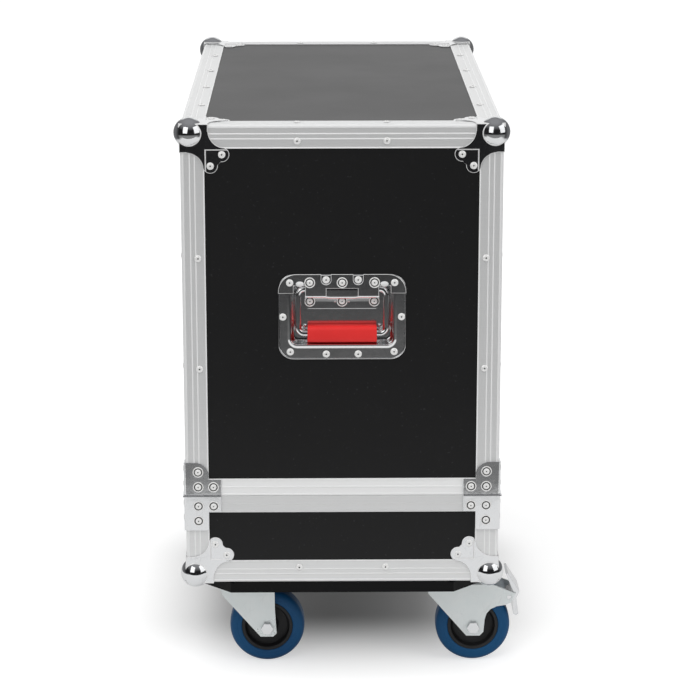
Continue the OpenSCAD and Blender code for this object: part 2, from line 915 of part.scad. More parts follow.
module axle(k) {
    side = cheek_in + cheek_t;
    half = side + axle_head_h;
    color(chrome) at_caster(k) translate([trail, 0, wheel_z]) rotate([90, 0, 0]) {
        translate([0, 0, -half - past]) cylinder(h = 2 * half + past, r = axle_r);
        translate([0, 0, side]) cylinder(h = axle_head_h, r = axle_head_r, $fn = 6);
        translate([0, 0, -half]) cylinder(h = axle_head_h, r = axle_head_r, $fn = 6);
    }
}

// Section of the tyre to one side, with the radius along X
tread_r = 9;
module tyre(k) {
    color(tyre_blue) at_caster(k) translate([trail, 0, wheel_z]) rotate([90, 0, 0]) rotate_extrude($fn = 96)
        difference() {
            translate([core_r, -wheel_w / 2]) square([wheel_r - core_r, wheel_w]);
            for (s = [false, true]) flip(s, [0, 1, 0]) difference() {
                translate([wheel_r - tread_r, wheel_w / 2 - tread_r]) square(tread_r + past);
                translate([wheel_r - tread_r, wheel_w / 2 - tread_r]) circle(tread_r, $fn = 48);
            }
        }
}

// Core: boss, dished web and rim
boss_r = 13;
rim_in = 29.5;
web_half = 7;
module wheel_core(k) {
    boss = cheek_in - fit;
    rim = wheel_w / 2 - 1;
    bore = axle_r + pin_play;
    color(core_black) at_caster(k) translate([trail, 0, wheel_z]) rotate([90, 0, 0]) rotate_extrude($fn = 96)
        polygon([
            [bore, -boss], [boss_r, -boss], [boss_r + 2, -web_half], [rim_in - 2, -web_half],
            [rim_in, -rim], [core_r, -rim], [core_r, rim], [rim_in, rim], [rim_in - 2, web_half],
            [boss_r + 2, web_half], [boss_r, boss], [bore, boss]]);
}

// Brake pedal: a bent plate on a pin through the cheeks, with the axle as the origin
module brake_pedal(k) {
    half = cheek_in - fit;
    color(zinc) at_caster(k) translate([trail, 0, wheel_z]) {
        translate([0, half, 0]) rotate([90, 0, 0]) linear_extrude(2 * half) polygon([
            [43, 74], [46, 75], [62, 49], [58, 40], [61, 18], [58, 15], [54, 17],
            [53, 36], [44, 38], [44, 46], [54, 48]]);
        translate([pedal_at[0], cheek_in + cheek_t, pedal_at[1]]) rotate([90, 0, 0])
            cylinder(h = 2 * (cheek_in + cheek_t), r = pedal_pin_r);
    }
}

// End handles

pan_h = pan_low + pan_up;
pan_mid = (pan_up - pan_low) / 2;
pan_r = 7;
// Lower edge of the cover: outer ends, then the middle between the bail's legs
cover_end_y = 30.7;
cover_mid_y = 26.8;
leg_slot = [bail_x - bend_r - 1.5, bail_x + rod_r + 1.5];
slot_top = pivot_y + rod_r + 1.6;
barrel = [34, bail_x - bend_r - 2];
barrel_r = rod_r + 2;
ring_x = 41;
ring_up = 44.7;
ring_low = 17;
fix_rivets = [
    [-75.2, 0], [75.2, 0], [-66, -45.6], [-20.3, -48.6], [20.3, -48.6], [66, -45.6],
    [-20.3, 48.2], [20.3, 48.2]];
cover_rivets = [[-66.3, 44.6], [66.3, 44.6]];

module handle_dish() {
    difference() {
        union() {
            linear_extrude(dish_t) round_rect(dish_w, dish_h, dish_r);
            translate([0, pan_mid, -dish_d - dish_t]) linear_extrude(dish_d + dish_t)
                round_rect(pan_w + 2 * dish_t, pan_h + 2 * dish_t, pan_r);
        }
        translate([0, pan_mid, -dish_d]) linear_extrude(dish_d + past) round_rect(pan_w, pan_h, pan_r);
    }
    // Small stops pressed up from the floor, beside the ends of the grip
    for (x = [-1, 1]) for (y = [-15, -21]) translate([x * (grip_l / 2 + 4), y, -dish_d])
        cylinder(h = 2.2, r1 = 2.6, r2 = 1.6);
}

module handle_dishes() {
    color(chrome) for (turn = [0, 180]) on_end(turn) handle_dish();
}

module cover_outline() {
    difference() {
        union() {
            intersection() {
                round_rect(dish_w, dish_h, dish_r + 4);
                translate([-dish_w / 2, cover_end_y]) square([dish_w, dish_h]);
            }
            translate([-leg_slot[0], cover_mid_y]) square([2 * leg_slot[0], dish_h / 4]);
        }
        for (s = [false, true]) flip(s, [1, 0])
            translate([leg_slot[0], 0]) square([leg_slot[1] - leg_slot[0], slot_top]);
        // Blank slot in the lower edge, and the two scallops round the inner rivets
        translate([-20, 0]) square([40, 37]);
        for (x = [-20.3, 20.3]) translate([x, 48.2]) {
            circle(rivet_r + 1.4);
            translate([-rivet_r - 1.4, 0]) square([2 * rivet_r + 2.8, dish_h]);
        }
    }
}

module handle_covers() {
    color(chrome) for (turn = [0, 180]) on_end(turn)
        translate([0, 0, dish_t]) linear_extrude(dish_t) cover_outline();
}

// Leaf on the dish's floor with two barrels that hold the bail's ends
module handle_hinge_plates() {
    leaf_low = ring_low - broad_r - 4;
    color(chrome) for (turn = [0, 180]) on_end(turn) difference() {
        union() {
            translate([0, (leaf_low + pan_up - 2) / 2, -dish_d]) linear_extrude(dish_t)
                round_rect(2 * barrel[1] + 2, pan_up - 2 - leaf_low, 4);
            for (s = [false, true]) flip(s, [1, 0, 0]) {
                translate([barrel[0], pivot_y, -pivot_d]) rotate([0, 90, 0])
                    cylinder(h = barrel[1] - barrel[0], r = barrel_r, $fn = 48);
                translate([barrel[0], pivot_y - barrel_r, -dish_d])
                    cube([barrel[1] - barrel[0], barrel_r, dish_d - pivot_d]);
            }
        }
        translate([-bail_x, pivot_y, -pivot_d]) rotate([0, 90, 0])
            cylinder(h = 2 * bail_x, r = rod_r + pin_play, $fn = 48);
    }
}

module handle_rivets() {
    color(chrome) for (turn = [0, 180]) on_end(turn) {
        for (p = fix_rivets) translate([p[0], p[1], dish_t]) rivet_head(rivet_r);
        for (p = cover_rivets) translate([p[0], p[1], 2 * dish_t]) rivet_head(rivet_r);
        for (x = [-ring_x, 0, ring_x]) {
            translate([x, ring_up, 2 * dish_t]) rivet_head(broad_r);
            translate([x, ring_low, dish_t - dish_d]) rivet_head(broad_r);
        }
    }
}

// Rod along X or Y and its quarter bends, in the handle frame at the pivot's depth
module bail() {
    bar_y = pivot_y - bail_len;
    straight = bail_x - bend_r;
    translate([0, 0, -pivot_d]) {
        for (s = [false, true]) flip(s, [1, 0, 0]) {
            translate([barrel[0] + 1, pivot_y, 0]) rotate([0, 90, 0])
                cylinder(h = straight - barrel[0] - 1, r = rod_r, $fn = 32);
            translate([straight, pivot_y - bend_r, 0]) rotate_extrude(angle = 90)
                translate([bend_r, 0]) circle(rod_r, $fn = 32);
            translate([bail_x, bar_y + bend_r, 0]) rotate([-90, 0, 0])
                cylinder(h = bail_len - 2 * bend_r, r = rod_r, $fn = 32);
            translate([straight, bar_y + bend_r, 0]) rotate([0, 0, -90]) rotate_extrude(angle = 90)
                translate([bend_r, 0]) circle(rod_r, $fn = 32);
        }
        translate([-straight, bar_y, 0]) rotate([0, 90, 0]) cylinder(h = 2 * straight, r = rod_r, $fn = 32);
    }
}

module grip() {
    translate([-grip_l / 2, pivot_y - bail_len, -pivot_d]) rotate([90, 0, 90]) linear_extrude(grip_l)
        difference() {
            round_rect(grip_h, grip_t, grip_r);
            circle(rod_r + 0.05, $fn = 32);
        }
}

module front_bail() {
    color(chrome) on_end(0) bail();
}

module rear_bail() {
    color(chrome) on_end(180) bail();
}

module front_grip() {
    color(grip_red) on_end(0) grip();
}

module rear_grip() {
    color(grip_red) on_end(180) grip();
}

// Twist latches

// Height past the closure rail at which a dish's flange steps down to the panel
past_rail = rail_h + seam_gap + fit;

// Recessed half dish between two heights, open towards the seam
module half_dish(low, high, flange_z) {
    hw = latch_hw;
    difference() {
        union() {
            translate([-latch_d - latch_t, -hw - latch_t, low])
                cube([latch_d + latch_t, 2 * (hw + latch_t), high - low + latch_t]);
            translate([0, -hw - latch_rim, low])
                cube([latch_t, 2 * (hw + latch_rim), high - low + flange_z]);
            translate([-skin, -hw - latch_rim, past_rail])
                cube([skin + latch_t, 2 * (hw + latch_rim), high + flange_z - past_rail]);
        }
        translate([-latch_d, -hw, low - past])
            cube([latch_d + 2 * latch_t, 2 * hw, high - low + past]);
    }
}

// Dish in the tray, with a bore for the key's spindle
module latch_dishes() {
    color(chrome) for (k = [1:4]) at_latch(k) difference() {
        mirror([0, 0, 1]) half_dish(fit / 2, latch_low, latch_rim);
        translate([-latch_d - past, 0, -key_z]) rotate([0, 90, 0])
            cylinder(h = latch_d, r = spindle_r + pin_play);
    }
}

// Levels of the latch's moving parts behind the case's face
arm_x = -latch_d + 6.4;
keep_h = 5.6;
keep_r = claw_r - claw_t - 0.4;

// Ring sector about the spindle's axis, centred on the direction "up", along X
module sector(r0, r1, x0, x1, half) {
    translate([x0, 0, 0]) rotate([0, 90, 0]) rotate([0, 0, 180 - half])
        rotate_extrude(angle = 2 * half, $fn = 96) translate([r0, 0]) square([r1 - r0, x1 - x0]);
}

// Dish in the hood, with the curved catch that the claw pulls on
module latch_catches() {
    color(chrome) for (k = [1:4]) at_latch(k) {
        half_dish(seam_gap + fit / 2, latch_up, latch_rim);
        translate([0, 0, -key_z]) sector(keep_r - claw_t, keep_r, -latch_d - latch_t / 2,
            -latch_d + keep_h, claw_a);
    }
}

// Hook: an arm with a hub, and a claw bent in behind the catch. It lies along the
// tray at rest and swings up by a quarter turn.
module hook() {
    hub_r = spindle_r + 4;
    arm_w = claw_r * sin(claw_a) - claw_t / 2;
    difference() {
        union() {
            translate([-latch_d + fit, -arm_w, claw_r - claw_t])
                cube([arm_x + arm_t + latch_d - fit, 2 * arm_w, claw_t]);
            translate([arm_x, 0, 0]) rotate([90, 0, 90]) linear_extrude(arm_t) polygon([
                [-hub_r + 1, 0], [-arm_w, claw_r - claw_t / 2], [arm_w, claw_r - claw_t / 2],
                [hub_r - 1, 0]]);
            translate([-latch_d + fit, 0, 0]) rotate([0, 90, 0])
                cylinder(h = arm_x + arm_t + latch_d - fit, r = hub_r);
        }
        translate([-latch_d, 0, 0]) rotate([0, 90, 0]) cylinder(h = latch_d, r = spindle_r + pin_play);
    }
}

module latch_hook(k) {
    color(chrome) at_latch(k) translate([0, 0, -key_z]) rotate([-90, 0, 0]) hook();
}

// Key: spindle and two flared wings
module latch_key(k) {
    base = arm_x + arm_t + fit;
    color(chrome) at_latch(k) translate([0, 0, -key_z]) {
        translate([-latch_d - latch_t, 0, 0]) rotate([0, 90, 0])
            cylinder(h = base + wing_t + latch_d + latch_t, r = spindle_r);
        translate([base, 0, 0]) rotate([0, 90, 0]) cylinder(h = wing_t + 1.5, r = spindle_r + 3);
        translate([base, 0, 0]) rotate([90, 0, 90]) linear_extrude(wing_t) polygon([
            [-wing_l, -wing_w], [-wing_l + 3, -wing_w - 1], [0, -spindle_r], [wing_l - 3, -wing_w - 1],
            [wing_l, -wing_w], [wing_l, wing_w], [wing_l - 3, wing_w + 1], [0, spindle_r],
            [-wing_l + 3, wing_w + 1], [-wing_l, wing_w]]);
    }
}

tray_floor_panel();
tray_end_panels();
tray_side_panels();
tray_posts();
tray_bottom_edges();
tray_closure_rail();
tray_ball_corners();
tray_braces();
tray_rivets();
tray_foam();
caster_boards();
caster_plates();
caster_bolts();
latch_dishes();
hood_top_panel();
hood_end_panels();
hood_side_panels();
hood_posts();
hood_top_edges();
hood_closure_rail();
hood_ball_corners();
hood_braces();
hood_rivets();
hood_foam();
latch_catches();
handle_dishes();
handle_covers();
handle_hinge_plates();
handle_rivets();
front_bail();
rear_bail();
front_grip();
rear_grip();
for (k = [1:4]) {
    latch_key(k);
    latch_hook(k);
    fork(k);
    axle(k);
    tyre(k);
    wheel_core(k);
}
brake_pedal(2);  // brake_pedal_2
brake_pedal(4);  // brake_pedal_4
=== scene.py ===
"""A flight case for a combo amplifier: a hood that lifts off a tray, on four swivel casters."""
from math import pi, radians

import bmesh
import bpy
import numpy as np
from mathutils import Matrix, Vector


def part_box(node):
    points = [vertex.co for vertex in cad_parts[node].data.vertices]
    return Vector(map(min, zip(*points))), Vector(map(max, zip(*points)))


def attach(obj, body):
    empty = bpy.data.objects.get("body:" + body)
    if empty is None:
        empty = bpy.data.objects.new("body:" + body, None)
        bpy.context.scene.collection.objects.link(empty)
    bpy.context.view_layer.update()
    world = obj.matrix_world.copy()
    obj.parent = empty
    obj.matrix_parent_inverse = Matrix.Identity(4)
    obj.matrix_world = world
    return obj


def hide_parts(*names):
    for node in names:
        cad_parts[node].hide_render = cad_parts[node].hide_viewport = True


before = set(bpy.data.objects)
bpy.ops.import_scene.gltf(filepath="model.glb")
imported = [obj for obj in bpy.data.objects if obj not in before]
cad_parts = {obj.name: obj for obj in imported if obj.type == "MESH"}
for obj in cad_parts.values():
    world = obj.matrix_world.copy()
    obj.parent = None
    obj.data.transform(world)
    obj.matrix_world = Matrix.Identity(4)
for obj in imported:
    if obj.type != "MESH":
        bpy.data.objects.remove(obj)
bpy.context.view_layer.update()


# The studio: a white sweep under two soft boxes
# The case stands on a white floor that starts under a metre in front of it and runs on past the view.
# Light comes from two soft boxes in front, a bank overhead and the pale room. Metal shows the studio too:
# white at the back up to about 45 degrees, dark in front, and dim grey at the sides, above and low down.

eye = bpy.data.objects.new("eye", bpy.data.cameras.new("eye"))
bpy.context.scene.collection.objects.link(eye)
eye.data.lens, eye.data.sensor_width = 130.75, 36.0
eye.location = (-0.0316, -3.5186, 1.2646)
looking_down, turned_right = radians(14.513), radians(0.76)
eye.rotation_euler = (pi / 2 - looking_down, 0.0, -turned_right)
eye.data.clip_end = 100.0
bpy.context.scene.camera = eye


def material(name, colour, roughness, metallic=0.0, specular=0.5):
    """A new node material whose shader has these plain values.

    Returns the material, its shader, its node tree, and the socket with a point's place on the object."""
    new = bpy.data.materials.new(name)
    new.use_nodes = True
    tree = new.node_tree
    shader = tree.nodes["Principled BSDF"]
    shader.inputs["Base Color"].default_value = (*colour, 1.0)
    shader.inputs["Roughness"].default_value = roughness
    shader.inputs["Metallic"].default_value = metallic
    shader.inputs["Specular IOR Level"].default_value = specular
    new.diffuse_color = (*colour, 1.0)
    return new, shader, tree, node(tree, "TexCoord").outputs["Object"]


def node(tree, kind, inputs=None, **settings):
    """Adds a shader node. inputs holds a plain value or another node's socket for each input."""
    new = tree.nodes.new("ShaderNode" + kind)
    for key, value in settings.items():
        setattr(new, key, value)
    for key, value in (inputs or {}).items():
        if isinstance(value, bpy.types.NodeSocket):
            tree.links.new(value, new.inputs[key])
        else:
            new.inputs[key].default_value = value
    return new


def mix(tree, share, first, second):
    """The colour between two colours, by a share from 0 to 1. Each is a colour or a node's socket."""
    return node(tree, "Mix", {0: share, 6: first, 7: second}, data_type="RGBA").outputs[2]


def surface(name, points, faces, finish, smooth=True):
    """A mesh piece at the origin from an array of points and an array of faces, with one material."""
    mesh = bpy.data.meshes.new(name)
    points = np.asarray(points, float).reshape(-1, 3).tolist()
    mesh.from_pydata(points, [], [list(map(int, face)) for face in faces])
    mesh.polygons.foreach_set("use_smooth", [smooth] * len(mesh.polygons))
    mesh.materials.append(finish)
    piece = bpy.data.objects.new(name, mesh)
    bpy.context.scene.collection.objects.link(piece)
    return piece


def maths(tree, operation, *values):
    """The result of a Math node on these numbers or other nodes' sockets."""
    return node(tree, "Math", dict(enumerate(values)), operation=operation).outputs[0]


def ramp(tree, value, start, end, top=1.0, kind="SMOOTHSTEP"):
    """A number that goes from 0 to top as a value goes from start to end."""
    return node(tree, "MapRange", {"Value": value, "From Min": start, "From Max": end, "To Max": top},
                interpolation_type=kind).outputs[0]


# Under the case the camera sees the paper's own colour and the shadow on it. From this footprint, given as
# half sizes in metres, the paper glows for the camera alone, rising to white over the fade. This is painted
# light: it brightens the floor round the case and adds a painted shadow under it to the real one.
footprint, fade, white = (0.10, 0.12), 0.22, 0.62
paper_and_painted_light, shader, tree, place = material("paper_and_painted_light", (0.62, 0.62, 0.62), 0.9, specular=0.0)
axes = node(tree, "SeparateXYZ", {0: place})
far = [maths(tree, "ABSOLUTE", axes.outputs[name]) for name in ("X", "Y")]
past = [maths(tree, "MAXIMUM", maths(tree, "SUBTRACT", far[k], footprint[k]), 0.0) for k in (0, 1)]
gap = node(tree, "VectorMath", {0: node(tree, "CombineXYZ", {0: past[0], 1: past[1]}).outputs[0]},
           operation="LENGTH")
painted_light_pool = ramp(tree, gap.outputs["Value"], 0.0, fade, top=white)
path = node(tree, "LightPath")
seen = maths(tree, "MULTIPLY", path.outputs["Is Camera Ray"], painted_light_pool)
# Metal sees the paper a little brighter near the case. Between near and gone_by metres to either side the
# paper fades away for it, and the dim room shows instead.
brighter, near, gone_by = 0.28, 0.9, 1.5
lift = maths(tree, "MULTIPLY_ADD", path.outputs["Is Glossy Ray"], brighter, seen)
shader.inputs["Emission Color"].default_value = (1.0, 1.0, 1.0, 1.0)
tree.links.new(lift, shader.inputs["Emission Strength"])
gone = maths(tree, "MULTIPLY", ramp(tree, far[0], near, gone_by), path.outputs["Is Glossy Ray"])
paper = node(tree, "MixShader", {0: gone, 1: shader.outputs[0], 2: node(tree, "BsdfTransparent").outputs[0]})
tree.links.new(paper.outputs[0], tree.nodes["Material Output"].inputs["Surface"])
floor = surface("floor", [(-30, -1.22, 0), (30, -1.22, 0), (30, 60, 0), (-30, 60, 0)], [(0, 1, 2, 3)],
                paper_and_painted_light, smooth=False)

# The room's brightness, by what looks at it: the camera sees white, the light on the case is soft, and
# metal sees the sweep behind the case, darkness ahead, and dim flanks, ceiling and low front.
room = bpy.data.worlds.new("room")
bpy.context.scene.world = room
room.use_nodes = True
tree = room.node_tree
tree.nodes.clear()
path = node(tree, "LightPath")
axes = node(tree, "SeparateXYZ", {0: node(tree, "TexCoord").outputs["Generated"]}).outputs
behind = ramp(tree, axes["Y"], 0.3, 0.6)
below = ramp(tree, axes["Z"], 0.75, 0.55)
between = ramp(tree, maths(tree, "ABSOLUTE", axes["X"]), 0.5, 0.25)
sweep = maths(tree, "MULTIPLY", maths(tree, "MULTIPLY", behind, below), between)
flank = ramp(tree, axes["Y"], -0.3, 0.5)
low_front = maths(tree, "MULTIPLY", ramp(tree, axes["Z"], -0.20, -0.33),
                  ramp(tree, axes["Y"], 0.0, -0.3, kind="LINEAR"))
ceiling = ramp(tree, axes["Z"], 0.35, 0.95, kind="LINEAR")
dim = mix(tree, flank, (0.014, 0.014, 0.015, 1.0), (0.16, 0.16, 0.165, 1.0))
dim = mix(tree, low_front, dim, (0.25, 0.25, 0.25, 1.0))
dim = mix(tree, ceiling, dim, (0.30, 0.30, 0.31, 1.0))
metal_sees = mix(tree, sweep, dim, (0.95, 0.95, 0.95, 1.0))
lit, shown, glint = (node(tree, "Background", {"Color": colour, "Strength": strength}).outputs[0]
                     for colour, strength in (((1.0, 1.0, 1.0, 1.0), 0.46), ((1.0, 1.0, 1.0, 1.0), 1.0),
                                              (metal_sees, 1.0)))
first = node(tree, "MixShader", {0: path.outputs["Is Glossy Ray"], 1: lit, 2: glint})
last = node(tree, "MixShader", {0: path.outputs["Is Camera Ray"], 1: first.outputs[0], 2: shown})
node(tree, "OutputWorld", {"Surface": last.outputs[0]})


def soft_box(name, place, target, size, power):
    """A rectangular lamp at a place, facing a target, with this size in metres and power in watts."""
    lamp = bpy.data.objects.new(name, bpy.data.lights.new(name, "AREA"))
    bpy.context.scene.collection.objects.link(lamp)
    lamp.data.shape, lamp.data.energy = "RECTANGLE", power
    lamp.data.size, lamp.data.size_y = size
    lamp.location = place
    aim = np.subtract(target, place)
    across, along = np.hypot(aim[0], aim[1]), np.arctan2(aim[0], aim[1])
    lamp.rotation_euler = (pi / 2 + np.arctan2(aim[2], across), 0.0, -along)
    lamp.visible_camera = False


soft_box("left_box", (-1.35, -2.75, 1.85), (0, 0, 0.5), (1.75, 2.4), 17.0)
soft_box("right_box", (2.35, -1.65, 1.75), (0, 0, 0.5), (2.0, 2.4), 17.0)
bank = bpy.data.objects.new("bank", bpy.data.lights.new("bank", "SUN"))
bpy.context.scene.collection.objects.link(bank)
bank.data.energy, bank.data.angle = 1.1, radians(50)
bank.rotation_euler = (radians(14), radians(-8), 0.0)
bank.visible_glossy = False


# Panels: the floor, walls and lid of tray and hood
# Birch plywood faced with a black phenolic laminate that has a fine pebbled grain. The panels sit in the
# extrusions' grooves, held by the rivets. Their cut edges are hidden in the metal.


def clad(finish, *names):
    """Gives CAD nodes a finish."""
    for name in names:
        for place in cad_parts[name].material_slots:
            place.material = finish


def effect(name, inputs, outputs):
    """A new shader node group with these named number or vector inputs and number outputs."""
    tree = bpy.data.node_groups.new(name, "ShaderNodeTree")
    for label, value in inputs.items():
        kind = "NodeSocketVector" if value is None else "NodeSocketFloat"
        socket = tree.interface.new_socket(label, in_out="INPUT", socket_type=kind)
        if value is not None:
            socket.default_value = value
    for label in outputs:
        tree.interface.new_socket(label, in_out="OUTPUT", socket_type="NodeSocketFloat")
    return tree, tree.nodes.new("NodeGroupInput").outputs, tree.nodes.new("NodeGroupOutput").inputs


def use(tree, group, inputs):
    """Places a node group in a material with its own values."""
    return node(tree, "Group", inputs, node_tree=group)


# Hairline scratches: cracks of a stretched cell pattern, kept only where a coarser noise allows them.
scratches, given, out = effect("scratches", {"Place": None, "Scale": 60.0, "Amount": 0.5}, ["Mask"])
spread = node(scratches, "VectorMath", {0: given["Place"], "Scale": given["Scale"]}, operation="SCALE")
hairs = []
for turn in (0.4, 1.9):
    turned = node(scratches, "VectorRotate", {"Vector": spread.outputs[0], "Axis": (0.5, 0.6, 0.62),
                                              "Angle": turn})
    drawn = node(scratches, "VectorMath", {0: turned.outputs[0], 1: (0.25, 3.2, 1.1)}, operation="MULTIPLY")
    cells = node(scratches, "TexVoronoi", {"Vector": drawn.outputs[0], "Scale": 1.0},
                 feature="DISTANCE_TO_EDGE")
    hairs.append(ramp(scratches, cells.outputs["Distance"], 0.035, 0.0, kind="LINEAR"))
where = node(scratches, "TexNoise", {"Vector": spread.outputs[0], "Scale": 0.9, "Detail": 3.0})
kept = ramp(scratches, where.outputs[0], 0.52, 0.72, kind="LINEAR")
faint = maths(scratches, "MULTIPLY", maths(scratches, "MAXIMUM", *hairs), kept)
scratches.links.new(maths(scratches, "MULTIPLY", faint, given["Amount"]), out["Mask"])

# Specks and rubbed patches: the rare peaks of a fine noise, and the slow swell of a coarse one.
handling, given, out = effect("handling", {"Place": None, "Speck Size": 0.004}, ["Specks", "Rubbed"])
per_metre = maths(handling, "DIVIDE", 1.0, given["Speck Size"])
fine = node(handling, "TexNoise", {"Vector": given["Place"], "Scale": per_metre, "Detail": 2.0})
slow = node(handling, "TexNoise", {"Vector": given["Place"], "Scale": 7.0, "Detail": 5.0,
                                   "Roughness": 0.62})
handling.links.new(ramp(handling, fine.outputs[0], 0.68, 0.78, kind="LINEAR"), out["Specks"])
handling.links.new(ramp(handling, slow.outputs[0], 0.35, 0.7, kind="LINEAR"), out["Rubbed"])


def shine(shader, value, low, high):
    """Varies a finish's roughness from low to high by a value from 0 to 1."""
    tree = shader.id_data
    span = node(tree, "MapRange", {"Value": value, "To Min": low, "To Max": high})
    tree.links.new(span.outputs[0], shader.inputs["Roughness"])


def relief(shader, height, strength, depth):
    """Gives a finish a fine relief from a height of 0 to 1, this many metres deep."""
    tree = shader.id_data
    bump = node(tree, "Bump", {"Height": height, "Strength": strength, "Distance": depth})
    tree.links.new(bump.outputs[0], shader.inputs["Normal"])


laminate, shader, tree, place = material("laminate", (0.0115, 0.0115, 0.012), 0.4, specular=0.24)
pebble = node(tree, "TexNoise", {"Vector": place, "Scale": 620.0, "Detail": 3.0, "Roughness": 0.55})
cast = use(tree, handling, {"Place": place, "Speck Size": 0.0034})
hair = use(tree, scratches, {"Place": place, "Scale": 40.0, "Amount": 0.05})
dusty = mix(tree, cast.outputs["Specks"], (0.0115, 0.0115, 0.012, 1.0), (0.03, 0.03, 0.032, 1.0))
scraped = mix(tree, hair.outputs["Mask"], dusty, (0.07, 0.07, 0.075, 1.0))
tree.links.new(scraped, shader.inputs["Base Color"])
shine(shader, cast.outputs["Rubbed"], 0.39, 0.42)
relief(shader, pebble.outputs[0], 0.35, 0.0002)
clad(laminate, "tray_floor_panel", "tray_end_panels", "tray_side_panels", "hood_top_panel",
     "hood_end_panels", "hood_side_panels")


# Extrusions: posts, long and end edges, and the closure rails
# Aluminium angle with two ridges a leg, pressed out in long lengths, cut at a mitre and anodised matt.
# It grips the plywood's edges and is riveted through.

# The case's half width and half length over its extrusions, and the heights of its top and bottom.
HALF_WIDE, HALF_LONG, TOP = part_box("hood_top_edges")[1]
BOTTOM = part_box("tray_bottom_edges")[0][2]

# Drawn grain: noise squeezed across a direction, so that it runs as long fine lines along it.
drawn_grain, given, out = effect("drawn_grain", {"Place": None, "Squeeze": None}, ["Line"])
long = node(drawn_grain, "VectorMath", {0: given["Place"], 1: given["Squeeze"]}, operation="MULTIPLY")
lines = node(drawn_grain, "TexNoise", {"Vector": long.outputs[0], "Scale": 1.0, "Detail": 4.0,
                                       "Roughness": 0.6})
drawn_grain.links.new(lines.outputs[0], out["Line"])

aluminium, shader, tree, place = material("aluminium", (0.82, 0.825, 0.825), 0.32, metallic=0.35)
# The grain runs along the case on its long sides, and across it on the ends. A point is on a long side
# where it is nearer to that side's outer face than to the end's.
axes = node(tree, "SeparateXYZ", {0: place})
wide, deep = (maths(tree, "ABSOLUTE", axes.outputs[name]) for name in ("X", "Y"))
on_side = maths(tree, "GREATER_THAN", maths(tree, "SUBTRACT", wide, deep), HALF_WIDE - HALF_LONG)
end_grain = use(tree, drawn_grain, {"Place": place, "Squeeze": (4.0, 1400.0, 1400.0)})
side_grain = use(tree, drawn_grain, {"Place": place, "Squeeze": (1400.0, 4.0, 1400.0)})
grain = node(tree, "Mix", {0: on_side, 2: end_grain.outputs[0], 3: side_grain.outputs[0]},
             data_type="FLOAT")
cast = use(tree, handling, {"Place": place, "Speck Size": 0.003})
toned = mix(tree, grain.outputs[0], (0.78, 0.785, 0.785, 1.0), (0.86, 0.865, 0.865, 1.0))
# Where a piece's crest attribute is 1, it is painted bright and matt: a painted highlight along the beads'
# crests. Without the attribute it is 0.
crest = node(tree, "Attribute", attribute_name="crest").outputs["Fac"]
bright = mix(tree, crest, toned, (0.96, 0.965, 0.965, 1.0))
tree.links.new(bright, shader.inputs["Base Color"])
sheen = node(tree, "MapRange", {"Value": crest, "To Min": 0.35, "To Max": 0.0})
tree.links.new(sheen.outputs[0], shader.inputs["Metallic"])
shine(shader, cast.outputs["Rubbed"], 0.29, 0.33)
relief(shader, grain.outputs[0], 0.15, 0.00005)


def soften(piece, width, rounds, angle):
    """Rounds the edges where a piece's faces turn by more than an angle in degrees, and evens its shading.

    width is the rounding's size in metres, and rounds its number of steps. Returns the rounding."""
    rounding = piece.modifiers.new("rounded", "BEVEL")
    rounding.width, rounding.segments = width, rounds
    rounding.limit_method, rounding.angle_limit = "ANGLE", radians(angle)
    evened = piece.modifiers.new("evened", "WEIGHTED_NORMAL")
    evened.weight = 100
    return rounding


def eased(name, cad, body, finish, width, rounds=2, split=False, trim=None):
    """A CAD node's own form with its doubles merged, its flat faces joined and its edges rounded.

    It stands for the node. split cuts hollow flats into bulging ones first, where rounding would fold them.
    trim is a finish for the rounded edges alone, which are then as wide as asked, however short the edges
    beside them."""
    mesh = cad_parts[cad].data.copy()
    work = bmesh.new()
    work.from_mesh(mesh)
    bmesh.ops.remove_doubles(work, verts=work.verts, dist=2e-6)
    bmesh.ops.dissolve_limit(work, angle_limit=radians(0.6), verts=work.verts, edges=work.edges)
    if split:
        bmesh.ops.connect_verts_concave(work, faces=work.faces)
    work.to_mesh(mesh)
    work.free()
    mesh.polygons.foreach_set("use_smooth", [True] * len(mesh.polygons))
    mesh.materials.clear()
    mesh.materials.append(finish)
    piece = bpy.data.objects.new(name, mesh)
    bpy.context.scene.collection.objects.link(piece)
    rounding = soften(piece, width, rounds, 28)
    if trim:
        mesh.materials.append(trim)
        rounding.material = 1
        rounding.use_clamp_overlap = False
    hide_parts(cad)
    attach(piece, body)
    return piece


def edge_section():
    """The edge extrusion's outline as (across, in) pairs in metres from its outer corner.

    One leg runs outwards from the middle of the 3 mm corner arc, drops to a valley, rises over two low
    beads, each an arc of 1.25 mm radius, and ends in a lip. The other leg is its mirror image."""
    arc, bead = np.radians(np.linspace(45, 90, 6)), np.radians(np.linspace(-50.2, 50.2, 9))
    round_r, bead_r, valley, wall = 3.0, 1.25, 0.45, 1.5
    corner = np.stack([round_r - round_r * np.cos(arc), round_r - round_r * np.sin(arc)], axis=1)
    first, second = (np.stack([middle + bead_r * np.sin(bead), bead_r - bead_r * np.cos(bead)], axis=1)
                     for middle in (11.4, 17.8))
    lip = [(28.1, valley), (28.5, 0.06), (28.8, 0.0), (29.7, 0.0), (30.0, 0.3), (30.0, wall)]
    leg = np.vstack([corner, [(3.7, 0.0), (4.2, valley)], first, second, lip])
    return np.vstack([leg[::-1], leg[1:, ::-1], [(wall, wall)]]) / 1000


def grid_faces(rows, columns, wrap_rows=False, start=0):
    """Four-sided faces between the rows of a grid of points, numbered from start.

    Each row is a closed ring of this many columns. With wrap_rows the last row is joined to the first."""
    i, j = np.meshgrid(np.arange(rows - (not wrap_rows)), np.arange(columns), indexing="ij")
    i, j = i.ravel(), j.ravel()
    a, b = (i + 1) % rows, (j + 1) % columns
    return start + np.stack([i * columns + j, i * columns + b, a * columns + b, a * columns + j], axis=1)


